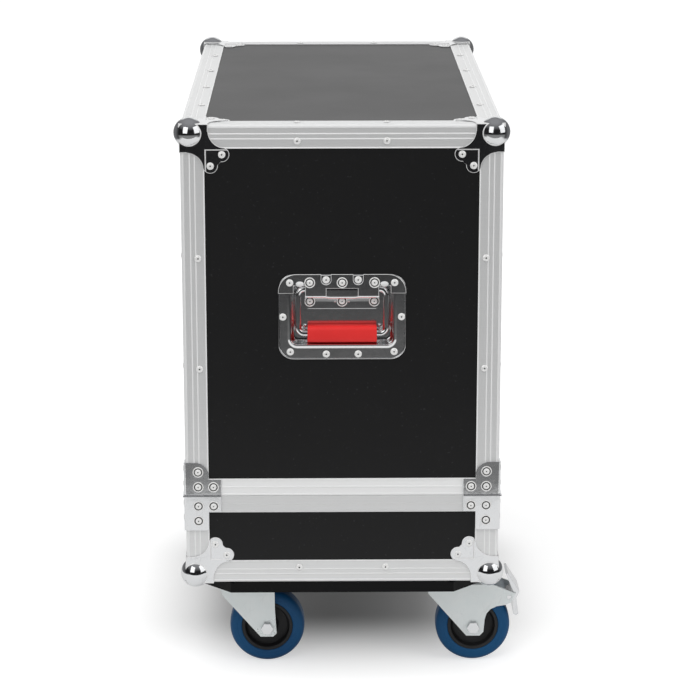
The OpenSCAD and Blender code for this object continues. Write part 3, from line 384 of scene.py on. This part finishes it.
def mend(piece):
    """Merges a turned mesh's doubled points at its poles, and points its faces outwards."""
    work = bmesh.new()
    work.from_mesh(piece.data)
    bmesh.ops.remove_doubles(work, verts=work.verts, dist=1e-6)
    bmesh.ops.recalc_face_normals(work, faces=work.faces)
    work.to_mesh(piece.data)
    work.free()


def extruded(name, cad, body, bars):
    """Straight lengths of the edge extrusion as one piece.

    Each bar is (axis, (low, high), (mitre, mitre), corner, inward). It runs along its axis from low to high,
    and an end with a mitre of 1 or -1 is set back that way by the larger of a point's two distances. crest,
    which paints a highlight, falls from 1 on the outer face to 0 at the valleys' depth, and is less round
    the corner arc."""
    section, points, faces = edge_section(), [], []
    count, saw_gap, valley, arc_end, arc_crest = len(section), 0.0001, 0.00045, 0.0031, 0.6
    for axis, ends, mitres, corner, inward in bars:
        grid = np.empty((2, count, 3))
        for side in (0, 1):
            grid[side, :, axis] = ends[side] + mitres[side] * (section.max(axis=1) + saw_gap)
        for k in (0, 1):
            grid[:, :, (axis + 1 + k) % 3] = corner[k] + inward[k] * section[:, k]
        start = 2 * count * len(points)
        faces += grid_faces(2, count, start=start).tolist()
        faces += [range(start, start + count), range(start + count, start + 2 * count)]
        points.append(grid)
    piece = surface(name, points, faces, aluminium)
    proud = np.clip(1 - section.min(axis=1) / valley, 0, 1)
    proud[section.max(axis=1) < arc_end] = arc_crest
    crest = piece.data.attributes.new("crest", "FLOAT", "POINT")
    crest.data.foreach_set("value", np.tile(proud, 2 * len(bars)))
    mend(piece)
    piece.data.set_sharp_from_angle(angle=radians(33))
    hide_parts(cad)
    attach(piece, body)


def bars_at(z, up):
    """The four bars that frame the case at height z, mitred at both ends. up is 1 where they reach up."""
    ends, sides = (-HALF_WIDE, HALF_WIDE), (-HALF_LONG, HALF_LONG)
    return ([(0, ends, (1, -1), (y, z), (-np.sign(y), up)) for y in sides]
            + [(1, sides, (1, -1), (z, x), (up, -np.sign(x))) for x in ends])


def posts_at(ends, mitres):
    """The four corner posts between two heights."""
    return [(2, ends, mitres, (x, y), (-np.sign(x), -np.sign(y))) for x in (-HALF_WIDE, HALF_WIDE)
            for y in (-HALF_LONG, HALF_LONG)]


# The hood's rail is made nearly as bright and matt as a crest. The posts stop at the rails.
rail = eased("hood_rail", "hood_closure_rail", "hood", aluminium, 0.0003)
crest = rail.data.attributes.new("crest", "FLOAT", "POINT")
crest.data.foreach_set("value", np.full(len(rail.data.vertices), 0.9))
rail_top, rail_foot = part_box("hood_closure_rail")[1][2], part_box("tray_closure_rail")[0][2]
eased("tray_rail", "tray_closure_rail", "tray", aluminium, 0.0003)
extruded("hood_upright_bars", "hood_posts", "hood", posts_at((rail_top, TOP), (0, -1)))
extruded("hood_edge_bars", "hood_top_edges", "hood", bars_at(TOP, -1))
extruded("tray_upright_bars", "tray_posts", "tray", posts_at((BOTTOM, rail_foot), (1, 0)))
extruded("tray_edge_bars", "tray_bottom_edges", "tray", bars_at(BOTTOM, 1))


# Foam: the lining of tray and hood
# Grey open-cell sheet, 12 mm thick, knife-cut and glued flat to the plywood, with windows where the
# latch dishes and handle pans stand through. Its cut edges are soft and its face shows the cells.

foam, shader, tree, place = material("foam", (0.050, 0.050, 0.052), 0.95, specular=0.15)
cells = node(tree, "TexVoronoi", {"Vector": place, "Scale": 900.0})
swell = node(tree, "TexNoise", {"Vector": place, "Scale": 18.0, "Detail": 4.0})
# Each cell is darker towards its middle: painted shade in the pores.
pores = ramp(tree, cells.outputs["Distance"], 0.0, 0.55, kind="LINEAR")
toned = mix(tree, pores, (0.022, 0.022, 0.024, 1.0), (0.062, 0.062, 0.064, 1.0))
tree.links.new(toned, shader.inputs["Base Color"])
relief(shader, maths(tree, "ADD", pores, swell.outputs[0]), 0.6, 0.0004)
eased("tray_lining", "tray_foam", "tray", foam, 0.0018, 3)
eased("hood_lining", "hood_foam", "hood", foam, 0.0018, 3)


# Ball corners
# One pressed piece of steel at each corner, chromed: a ball over the three edges that meet there, and
# three plates, each stepped down from the extrusions to the panel and riveted twice.

chrome, shader, tree, place = material("chrome", (0.78, 0.79, 0.80), 0.09, metallic=1.0)
cast = use(tree, handling, {"Place": place, "Speck Size": 0.0022})
hair = use(tree, scratches, {"Place": place, "Scale": 70.0, "Amount": 0.5})
scored = mix(tree, hair.outputs["Mask"], (0.78, 0.79, 0.80, 1.0), (0.52, 0.53, 0.55, 1.0))
tree.links.new(scored, shader.inputs["Base Color"])
shine(shader, cast.outputs["Rubbed"], 0.06, 0.15)
wavy = node(tree, "TexNoise", {"Vector": place, "Scale": 90.0, "Detail": 2.0})
relief(shader, wavy.outputs[0], 0.12, 0.0004)

# A bright satin for the sheet's rounded edges, and later for the domes over the bail slots: a painted
# highlight.
painted_highlight, shader, tree, place = material("painted_highlight", (0.92, 0.92, 0.92), 0.35, metallic=0.1, specular=0.8)
cast = use(tree, handling, {"Place": place, "Speck Size": 0.001})
toned = mix(tree, cast.outputs["Rubbed"], (0.80, 0.80, 0.80, 1.0), (0.96, 0.96, 0.96, 1.0))
tree.links.new(toned, shader.inputs["Base Color"])
eased("tray_balls", "tray_ball_corners", "tray", chrome, 0.0008, 3, split=True, trim=painted_highlight)
eased("hood_balls", "hood_ball_corners", "hood", chrome, 0.0008, 3, split=True, trim=painted_highlight)


# Seam braces
# Corner straps of chromed steel, bent round each post above and below the seam. Each is riveted three
# times a side and has a lip along the seam that keeps hood and tray in line.

eased("tray_straps", "tray_braces", "tray", chrome, 0.0004)
eased("hood_straps", "hood_braces", "hood", chrome, 0.0004)


# Rivets
# Nickelled steel blind rivets. The dome keeps the small eye that the mandrel breaks off in, and the ones
# on straps and handle are broader, with a rolled ring round the dome.

# A head's profile, from its rim to its middle, as shares of the rivet's radius and height, and a number for
# each face between two points of it: 1 where it is sunk and is painted dark as shade. BROAD is the least
# width, in metres, of a rivet with a ring.
PLAIN_HEAD = [(1.0, 0.0), (1.0, 0.16), (0.93, 0.42), (0.78, 0.72), (0.55, 0.93), (0.32, 1.0), (0.22, 0.96),
              (0.18, 0.5), (0.0, 0.55)]
PLAIN_DEEP = [0, 0, 0, 0, 0, 0, 1, 1]
RINGED_HEAD = [(1.20, 0.0), (1.20, 0.30), (1.17, 0.42), (1.09, 0.48), (1.01, 0.42), (0.96, 0.16),
               (0.76, 0.14), (0.71, 0.34), (0.65, 0.62), (0.54, 0.86), (0.38, 0.97), (0.20, 1.0),
               (0.14, 0.95), (0.12, 0.6), (0.0, 0.62)]
RINGED_DEEP = [0, 0, 0, 0, 0, 1, 1, 0, 0, 0, 0, 0, 1, 1]
BROAD = 0.0105


def solids(cad):
    """The lowest and highest corners of each separate solid in a CAD node.

    Points at one place share a number. Each triangle hands its lowest number to its corners, and each
    number is then swapped for its own point's, until none changes. So every solid ends with one number."""
    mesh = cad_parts[cad].data
    points, corners = np.empty(3 * len(mesh.vertices)), np.empty(len(mesh.loops), int)
    mesh.vertices.foreach_get("co", points)
    mesh.loops.foreach_get("vertex_index", corners)
    places, same = np.unique(points.reshape(-1, 3).round(6), axis=0, return_inverse=True)
    triangles = same.reshape(-1)[corners.reshape(-1, 3)]
    label, before = np.arange(len(places)), None
    while before is None or (label != before).any():
        before = label.copy()
        np.minimum.at(label, triangles.ravel(), np.repeat(label[triangles].min(axis=1), 3))
        label = label[label]
    numbers, group = np.unique(label, return_inverse=True)
    low, high = np.full((len(numbers), 3), np.inf), np.full((len(numbers), 3), -np.inf)
    np.minimum.at(low, group.reshape(-1), places)
    np.maximum.at(high, group.reshape(-1), places)
    return low, high


def rivet_heads(name, cad, body):
    """Modelled heads in place of a rivet node's solids, standing outwards from the case.

    Each head is its profile turned about the rivet's axis: a ring of the profile's share of the radius,
    lifted by its share of the height."""
    low, high = solids(cad)
    size, middle = high - low, (high + low) / 2
    axis = size.argmin(axis=1)
    row = np.arange(len(axis))
    inside_case, sides = (0, 0, 0.4), 16
    outward = np.sign((middle - inside_case)[row, axis])
    points, faces, sunk, first = [], [], [], 0
    turn = np.linspace(0, 2 * pi, sides, endpoint=False)
    broad = size.max(axis=1) >= BROAD
    for profile, deep, chosen in ((PLAIN_HEAD, PLAIN_DEEP, ~broad), (RINGED_HEAD, RINGED_DEEP, broad)):
        share, rise = np.array(profile).T
        k = row[chosen]
        radius, height = size[k].max(axis=1) / 2, size[k].min(axis=1)
        grid = np.repeat(middle[k][:, None, None, :], len(share), axis=1).repeat(len(turn), axis=2)
        side_a, side_b = (axis[k] + 1) % 3, (axis[k] + 2) % 3
        n = np.arange(len(k))
        ring = radius[:, None, None] * share[None, :, None]
        grid[n, :, :, side_a] += ring * np.cos(turn * outward[k][:, None, None])
        grid[n, :, :, side_b] += ring * np.sin(turn * outward[k][:, None, None])
        grid[n, :, :, axis[k]] += (outward[k] * height)[:, None, None] * (rise - 0.5)[None, :, None]
        one = grid_faces(len(share), len(turn))
        faces.append((one[None] + (first + n * len(share) * len(turn))[:, None, None]).reshape(-1, 4))
        sunk.append(np.tile(np.repeat(deep, len(turn)), len(k)))
        points.append(grid.reshape(-1, 3))
        first += grid.size // 3
    piece = surface(name, np.concatenate(points), np.concatenate(faces), nickel)
    piece.data.materials.append(painted_shade)
    piece.data.polygons.foreach_set("material_index", np.concatenate(sunk))
    mend(piece)
    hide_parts(cad)
    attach(piece, body)


nickel, shader, tree, place = material("nickel", (0.97, 0.97, 0.96), 0.26, metallic=0.15, specular=0.8)
dents = node(tree, "TexNoise", {"Vector": place, "Scale": 700.0, "Detail": 3.0})
cast = use(tree, handling, {"Place": place, "Speck Size": 0.0012})
toned = mix(tree, cast.outputs["Rubbed"], (0.94, 0.94, 0.93, 1.0), (1.0, 1.0, 0.99, 1.0))
tree.links.new(toned, shader.inputs["Base Color"])
shine(shader, dents.outputs[0], 0.20, 0.30)
relief(shader, dents.outputs[0], 0.2, 0.0001)

# The sunk faces, the ring's groove and the eye, are painted dark: painted shade.
painted_shade, shader, tree, place = material("painted_shade", (0.02, 0.02, 0.02), 0.5, metallic=0.2, specular=0.3)
cast = use(tree, handling, {"Place": place, "Speck Size": 0.0008})
toned = mix(tree, cast.outputs["Rubbed"], (0.012, 0.012, 0.012, 1.0), (0.05, 0.048, 0.045, 1.0))
tree.links.new(toned, shader.inputs["Base Color"])
rivet_heads("tray_rivet_heads", "tray_rivets", "tray")
rivet_heads("hood_rivet_heads", "hood_rivets", "hood")


# Caster boards, plates and bolts
# A painted plywood board under each end spreads the load of two casters. Each caster's zinc-plated top
# plate is bolted through board and floor, with nuts below and low heads inside the tray.

board_paint, shader, tree, place = material("board_paint", (0.004, 0.004, 0.0045), 0.5, specular=0.15)
ply = use(tree, drawn_grain, {"Place": place, "Squeeze": (22.0, 160.0, 420.0)})
cast = use(tree, handling, {"Place": place, "Speck Size": 0.003})
toned = mix(tree, cast.outputs["Specks"], (0.004, 0.004, 0.0045, 1.0), (0.02, 0.019, 0.018, 1.0))
tree.links.new(toned, shader.inputs["Base Color"])
shine(shader, ply.outputs[0], 0.42, 0.62)
relief(shader, ply.outputs[0], 0.4, 0.0004)
eased("boards", "caster_boards", "tray", board_paint, 0.0012, 3)

zinc, shader, tree, place = material("zinc", (0.84, 0.88, 0.88), 0.34, metallic=0.4)
bloom = node(tree, "TexNoise", {"Vector": place, "Scale": 55.0, "Detail": 6.0, "Roughness": 0.6})
cast = use(tree, handling, {"Place": place, "Speck Size": 0.0016})
hair = use(tree, scratches, {"Place": place, "Scale": 60.0, "Amount": 0.4})
toned = mix(tree, bloom.outputs[0], (0.78, 0.84, 0.845, 1.0), (0.88, 0.91, 0.905, 1.0))
scored = mix(tree, hair.outputs["Mask"], toned, (0.62, 0.64, 0.65, 1.0))
tree.links.new(scored, shader.inputs["Base Color"])
shine(shader, cast.outputs["Rubbed"], 0.26, 0.44)
relief(shader, bloom.outputs[0], 0.15, 0.0003)
eased("top_plates", "caster_plates", "tray", zinc, 0.0004)
eased("plate_bolts", "caster_bolts", "tray", nickel, 0.0003)


# Casters
# A pressed fork with its ball race swivels on the top plate's kingpin. A blue elastic tyre is moulded on
# a dark nylon core that runs on the axle bolt, and two of the four have a foot brake.

tyre_blue, shader, tree, place = material("tyre_blue", (0.004, 0.078, 0.205), 0.5, specular=0.3)
cast = use(tree, handling, {"Place": place, "Speck Size": 0.0018})
skin = node(tree, "TexNoise", {"Vector": place, "Scale": 420.0, "Detail": 3.0})
toned = mix(tree, cast.outputs["Rubbed"], (0.003, 0.064, 0.180, 1.0), (0.005, 0.092, 0.230, 1.0))
dusty = mix(tree, cast.outputs["Specks"], toned, (0.06, 0.12, 0.22, 1.0))
tree.links.new(dusty, shader.inputs["Base Color"])
shine(shader, skin.outputs[0], 0.40, 0.62)
relief(shader, skin.outputs[0], 0.25, 0.0003)

nylon, shader, tree, place = material("nylon", (0.018, 0.018, 0.019), 0.45, specular=0.3)
cast = use(tree, handling, {"Place": place, "Speck Size": 0.0015})
skin = node(tree, "TexNoise", {"Vector": place, "Scale": 600.0, "Detail": 2.0})
toned = mix(tree, cast.outputs["Rubbed"], (0.012, 0.012, 0.013, 1.0), (0.026, 0.026, 0.027, 1.0))
tree.links.new(toned, shader.inputs["Base Color"])
relief(shader, skin.outputs[0], 0.3, 0.0002)


def wheel_part(name, cad, body, section, finish):
    """A closed section of (radius, side) pairs in metres, turned about a wheel's axle, which lies along Y.

    Each point stands off the wheel's middle by the radius times the turn's cosine and sine, and by side."""
    low, high = np.array(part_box(cad))
    middle, steps = (low + high) / 2, 128
    radius, side = section.T
    turn = np.linspace(0, 2 * pi, steps, endpoint=False)
    grid = np.stack(np.broadcast_arrays(middle[0] + radius[:, None] * np.cos(turn),
                                        middle[1] + side[:, None],
                                        middle[2] + radius[:, None] * np.sin(turn)), axis=-1)
    piece = surface(name, grid, grid_faces(len(radius), len(turn), wrap_rows=True), finish)
    mend(piece)
    soften(piece, 0.0004, 2, 35)
    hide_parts(cad)
    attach(piece, body)


# Half sections from the hub outwards, in metres. The tyre's shoulder is a quarter round, and its tread is
# nearly flat. The core is dished between its bearing seat and its rim.
round_off = np.linspace(0, pi / 2, 13)[:, None]
shoulder = np.hstack([0.0410 + 0.0088 * np.sin(round_off), 0.0090 + 0.0088 * np.cos(round_off)])
half_tyre = np.vstack([[(0.0341, 0.0170), (0.0352, 0.0179), (0.0385, 0.0180), (0.0392, 0.0176),
                        (0.0400, 0.0180)], shoulder, [(0.0500, 0.0045)]])
tyre_section = np.vstack([half_tyre, half_tyre[::-1] * (1, -1)])
half_core = np.array([(0.0054, 0.0206), (0.0105, 0.0206), (0.0118, 0.0198), (0.0132, 0.0120),
                      (0.0150, 0.0072), (0.0262, 0.0070), (0.0282, 0.0084), (0.0296, 0.0166),
                      (0.0308, 0.0171), (0.0339, 0.0171)])
core_section = np.vstack([half_core, half_core[::-1] * (1, -1)])
for k in (1, 2, 3, 4):
    wheel_part(f"tread_{k}", f"tyre_{k}", f"wheel_{k}", tyre_section, tyre_blue)
    wheel_part(f"hub_{k}", f"wheel_core_{k}", f"wheel_{k}", core_section, nylon)
    eased(f"pressed_fork_{k}", f"fork_{k}", f"caster_{k}", zinc, 0.0007, 3)
    eased(f"axle_bolt_{k}", f"axle_{k}", f"caster_{k}", chrome, 0.0004)
for k in (2, 4):
    eased(f"foot_brake_{k}", f"brake_pedal_{k}", f"brake_{k}", chrome, 0.0006)


# Twist latches
# Two a side at the seam: chromed half dishes let into tray and hood, a winged key on a spindle in the
# tray, and a hook behind it that the key swings up over the catch in the hood's dish.

eased("latch_pans", "latch_dishes", "tray", chrome, 0.0005)
eased("catch_pans", "latch_catches", "hood", chrome, 0.0005)
for k in (1, 2, 3, 4):
    eased(f"winged_key_{k}", f"latch_key_{k}", f"key_{k}", nickel, 0.0006, 3)
    eased(f"hook_arm_{k}", f"latch_hook_{k}", f"hook_{k}", zinc, 0.0003)


# End handles
# A pressed steel dish in each end of the hood, with a riveted cover, a hinge leaf inside it, and a
# sprung steel bail that carries a red rubber grip. The steel is plated bright.

# The end panel's face and the height of the handle's middle, in metres. Everything else of the handle is in
# millimetres from that middle: across, up and outwards.
PANEL_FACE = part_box("hood_end_panels")[1][1]
dish_low, dish_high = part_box("handle_dishes")
HANDLE_UP = (dish_low[2] + dish_high[2]) / 2


def outline(half_wide, half_high, radius, middle=0.0):
    """A rounded rectangle as (across, up) points, with nine on each corner.

    A corner's points lie on a quarter circle about the point that is its radius in from both sides."""
    turn = np.linspace(0, pi / 2, 9) + np.arange(4)[:, None] * pi / 2
    side = np.array([(1, 1), (-1, 1), (-1, -1), (1, -1)])[:, None, :]
    away = np.array([half_wide - radius, half_high - radius]) * side
    return (away + radius * np.stack([np.cos(turn), np.sin(turn)], axis=-1)).reshape(-1, 2) + (0, middle)


def nested(rows):
    """A pressed sheet: row by row, a rounded rectangle (half width, half height, radius, middle, out)."""
    return np.stack([np.insert(outline(*row[:4]), 2, row[4], axis=1) for row in rows])


def knob(profile, at, base, steps=14):
    """A profile of (radius, rise) pairs turned about the outward axis, at a place on the dish.

    Each point stands off the place by its radius times the turn's cosine and sine, and off base by its
    rise."""
    turn = np.linspace(0, 2 * pi, steps, endpoint=False)
    radius, rise = np.array(profile).T
    return np.stack([at[0] + radius[:, None] * np.cos(turn), at[1] + radius[:, None] * np.sin(turn),
                     np.repeat(base + rise, steps).reshape(len(rise), steps)], axis=-1)


def handle_piece(name, cad, grids, finish, ends=(1, -1), body="hood"):
    """Closed tubes of points, in the handle's millimetres, as one piece on one or both ends of the case.

    Each grid's rows are closed rings, and its first and last rows are capped. The far end, -1, is the near
    one turned half round. A piece with no CAD node stands for none."""
    points, faces, first = [], [], 0
    for end in ends:
        for grid in grids:
            rows, columns = grid.shape[:2]
            faces += grid_faces(rows, columns, start=first).tolist()
            last = first + (rows - 1) * columns
            faces += [range(first, first + columns), range(last, last + columns)]
            first = last + columns
            across, up, out = grid.reshape(-1, 3).T / 1000
            points.append(np.stack([end * across, end * (-PANEL_FACE - out), HANDLE_UP + up], axis=1))
    piece = surface(name, np.concatenate(points), faces, finish)
    mend(piece)
    piece.data.set_sharp_from_angle(angle=radians(38))
    if cad:
        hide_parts(cad)
    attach(piece, body)


plated, shader, tree, place = material("plated", (0.86, 0.865, 0.87), 0.12, metallic=1.0)
cast = use(tree, handling, {"Place": place, "Speck Size": 0.0016})
hair = use(tree, scratches, {"Place": place, "Scale": 60.0, "Amount": 0.5})
scored = mix(tree, hair.outputs["Mask"], (0.86, 0.865, 0.87, 1.0), (0.60, 0.61, 0.62, 1.0))
tree.links.new(scored, shader.inputs["Base Color"])
shine(shader, cast.outputs["Rubbed"], 0.09, 0.15)
wavy = node(tree, "TexNoise", {"Vector": place, "Scale": 70.0, "Detail": 2.0})
relief(shader, wavy.outputs[0], 0.1, 0.0004)

# The dish runs from the middle of its back, round the flange's rolled edge, over a rim and the pan's lip,
# and down its wall to the middle of its floor. Lip and foot are quarter rounds. The rim rises by half a
# cosine wave, and dies out towards rim_dies, under the cover. The stops beside the grip are small domes.
# Flange and window have these half sizes and corner radii. The window's middle is at window_up.
flange_wide, flange_high, flange_round = 1000 * dish_high[0], 500 * (dish_high[2] - dish_low[2]), 19
window_wide, window_high, window_round, window_up = 64, 38.25, 7, 2.75
face_out, floor_out, back_out = 1000 * (dish_high[1] - PANEL_FACE), -14, -15.2
lip_r, foot_r, rim_rise, rim_dies, dying = 2, 3.5, 1.3, 28, 4
roll = np.linspace(0, pi / 2, 7)
bead, bead_r, bead_out = np.linspace(-0.45, pi, 8), 1, 0.9
back = [(30, 12, 4, 1.25, back_out), (62, 38, 6, 1.25, back_out), (64.6, 40.4, 7.5, 1.25, -14.5),
        (65.2, 40.95, 8, 1.25, -13), (65.2, 40.95, 8, 1.25, 0),
        (flange_wide - 0.6, flange_high - 0.6, flange_round - 0.6, 0, 0)]
edge = [(flange_wide + d, flange_high + d, flange_round + d, 0, bead_out + bead_r * np.sin(t))
        for t in bead for d in [bead_r * (np.cos(t) - 1)]]
face = [(flange_wide - d, flange_high - d, flange_round - d, 0, face_out) for d in (2.2, 3)]
rim = [(window_wide + d, window_high + d, window_round + d, window_up, face_out)
       for d in (5.9, 5.2, 4.8, 4.1, 3.3, 2.6)]
lip = [(window_wide + d, window_high + d, window_round + d, window_up, face_out - lip_r * (1 - np.cos(t)))
       for t in roll for d in [lip_r * (1 - np.sin(t))]]
foot = [(63.7 - d, 37.95 - d, window_round - 0.8 * d, window_up, floor_out + foot_r * (1 - np.sin(t)))
        for t in roll for d in [foot_r * (1 - np.cos(t))]]
bottom = [(59.3, 33.5, 3.8, window_up, floor_out), (30, 15, 3, window_up, floor_out)]
pan = nested(back + edge + face + rim + lip + foot + bottom)
level = len(back + edge + face) + 1
rise = np.concatenate([np.zeros(level), rim_rise / 2 * (1 - np.cos(np.linspace(0, pi, 6))),
                       rim_rise * np.cos(roll[1:])])
pan[:len(rise), :, 2] += rise[:, None] * np.clip((rim_dies - pan[:len(rise), :, 1]) / dying, 0, 1)
stop = [(2.8, -0.2), (2.6, 0.4), (2.2, 1.3), (1.5, 1.9), (0.7, 2.2)]
stops = [knob(stop, (x, y), floor_out) for x in (-48, 48) for y in (-15, -21)]
handle_piece("handle_pans", "handle_dishes", [pan, *stops], plated)

# The cover's rounded edges take the bright satin too: a painted highlight.
eased("handle_tops", "handle_covers", "hood", plated, 0.00055, 3, trim=painted_highlight)

# Over each bail slot the cover is pressed out in a small dome, which is stretched across.
cover_out, stretch = 1000 * (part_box("handle_covers")[1][1] - PANEL_FACE), 1.5
dome = [(3.5, -0.4), (3.4, 0.5), (3.1, 1.2), (2.5, 1.9), (1.6, 2.4), (0.6, 2.6)]
bulges = [knob(dome, (x, 42.9), cover_out, steps=20) for x in (-53.5, 53.5)]
for bulge in bulges:
    middle = bulge[0, :, 0].mean()
    bulge[:, :, 0] = middle + stretch * (bulge[:, :, 0] - middle)
# The domes take the bright satin: a painted highlight.
handle_piece("handle_bulges", None, bulges, painted_highlight)

# The hinge leaf is a line of (up, out) points carried across and thickened squarely to it. It lies on the
# pan's floor, rises steeply and rounds over to a flat behind the cover. Its foot has round corners. Its
# round sits 1 mm lower in the middle, by a smooth step in the distance across.
leaf_half, leaf_t, leaf_round, lying = 1000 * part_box("handle_hinge_plates")[1][0], 1.1, 4, -12.8
turn = np.linspace(0.15, pi / 2, 9)
spine = np.vstack([[(7.2, -12.9), (7.5, lying), (8.2, lying), (9.5, lying), (11.2, lying), (16, lying),
                    (20.8, lying), (21.6, -12.6), (22.2, -12.0), (23.0, -9.0), (23.6, -5.5)],
                   np.stack([27.1 - 3.4 * np.cos(turn), -2.8 + 3.2 * np.sin(turn)], axis=1),
                   [(28.3, 0.4), (34, 0.4), (37.5, 0.4), (38.4, 0.2)]])
slope = np.gradient(spine, axis=0)
normal = np.stack([slope[:, 1], -slope[:, 0]], axis=1) / np.linalg.norm(slope, axis=1)[:, None]
sheet = np.vstack([spine, (spine + leaf_t * normal)[::-1]])
up, out = sheet.T
in_corner = np.clip((spine[0, 0] + leaf_round - up) / leaf_round, 0, 1)
across = np.linspace(-1, 1, 49)[:, None] * (leaf_half - leaf_round * (1 - np.sqrt(1 - in_corner ** 2)))
dip_half, dip_soft, bend_from, bend_by, flat_from = 19, 1.2, 20, 3, 33
dip = 1 / (1 + np.exp((abs(across) - dip_half) / dip_soft))
dip = dip * np.clip((up - bend_from) / bend_by, 0, 1) * (up < flat_from)
leaf = np.stack([across, up - dip, np.broadcast_to(out, across.shape)], axis=-1)
dimple = [(1.5, -0.2), (1.3, 0.4), (0.8, 0.8), (0.3, 0.9)]
dimples = [knob(dimple, (x, 17), lying) for x in (-8.7, 8.7)]
handle_piece("handle_hinges", "handle_hinge_plates", [leaf, *dimples], plated)
rivet_heads("handle_rivet_heads", "handle_rivets", "hood")

grip_rubber, shader, tree, place = material("grip_rubber", (0.85, 0.022, 0.020), 0.42, specular=0.5)
cast = use(tree, handling, {"Place": place, "Speck Size": 0.0012})
skin = node(tree, "TexNoise", {"Vector": place, "Scale": 520.0, "Detail": 4.0})
toned = mix(tree, cast.outputs["Rubbed"], (0.78, 0.016, 0.015, 1.0), (0.92, 0.028, 0.026, 1.0))
tree.links.new(toned, shader.inputs["Base Color"])
shine(shader, skin.outputs[0], 0.38, 0.6)
relief(shader, skin.outputs[0], 0.3, 0.0003)

# The grip's section is a rounded rectangle, 22 by 17 mm, whose front and back bulge by half a millimetre. It
# is carried along the bail, and at each end it shrinks to 0.86 by a quarter sine within end_r.
grip_low, grip_high = 1000 * np.array(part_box("front_grip"))
half_along, half_thick, half_tall = (grip_high - grip_low) / 2
grip_out = -(grip_low + grip_high)[1] / 2 - 1000 * PANEL_FACE
grip_up = (grip_low + grip_high)[2] / 2 - 1000 * HANDLE_UP
section = outline(half_tall, half_thick, 5.5)
section[:, 1] *= 1 + 0.06 * (1 - (section[:, 0] / half_tall) ** 2)
end_r, end_share = 1.6, 0.86
quarter = np.linspace(0, pi / 2, 6)
grow = end_share + (1 - end_share) * np.sin(quarter)
share = np.concatenate([grow, grow[::-1]])[:, None]
inset = end_r * (1 - np.cos(quarter))
along = np.concatenate([inset - half_along, half_along - inset[::-1]])
rubber = np.stack([np.repeat(along, len(section)).reshape(len(along), -1),
                   grip_up + share * section[:, 0], grip_out + share * section[:, 1]], axis=-1)
for end, name in ((1, "front"), (-1, "rear")):
    eased(f"{name}_rod", f"{name}_bail", f"{name}_handle", plated, 0.0003)
    handle_piece(f"{name}_rubber", f"{name}_grip", [rubber], grip_rubber, (end,), f"{name}_handle")


bpy.context.scene.view_settings.view_transform = "Standard"
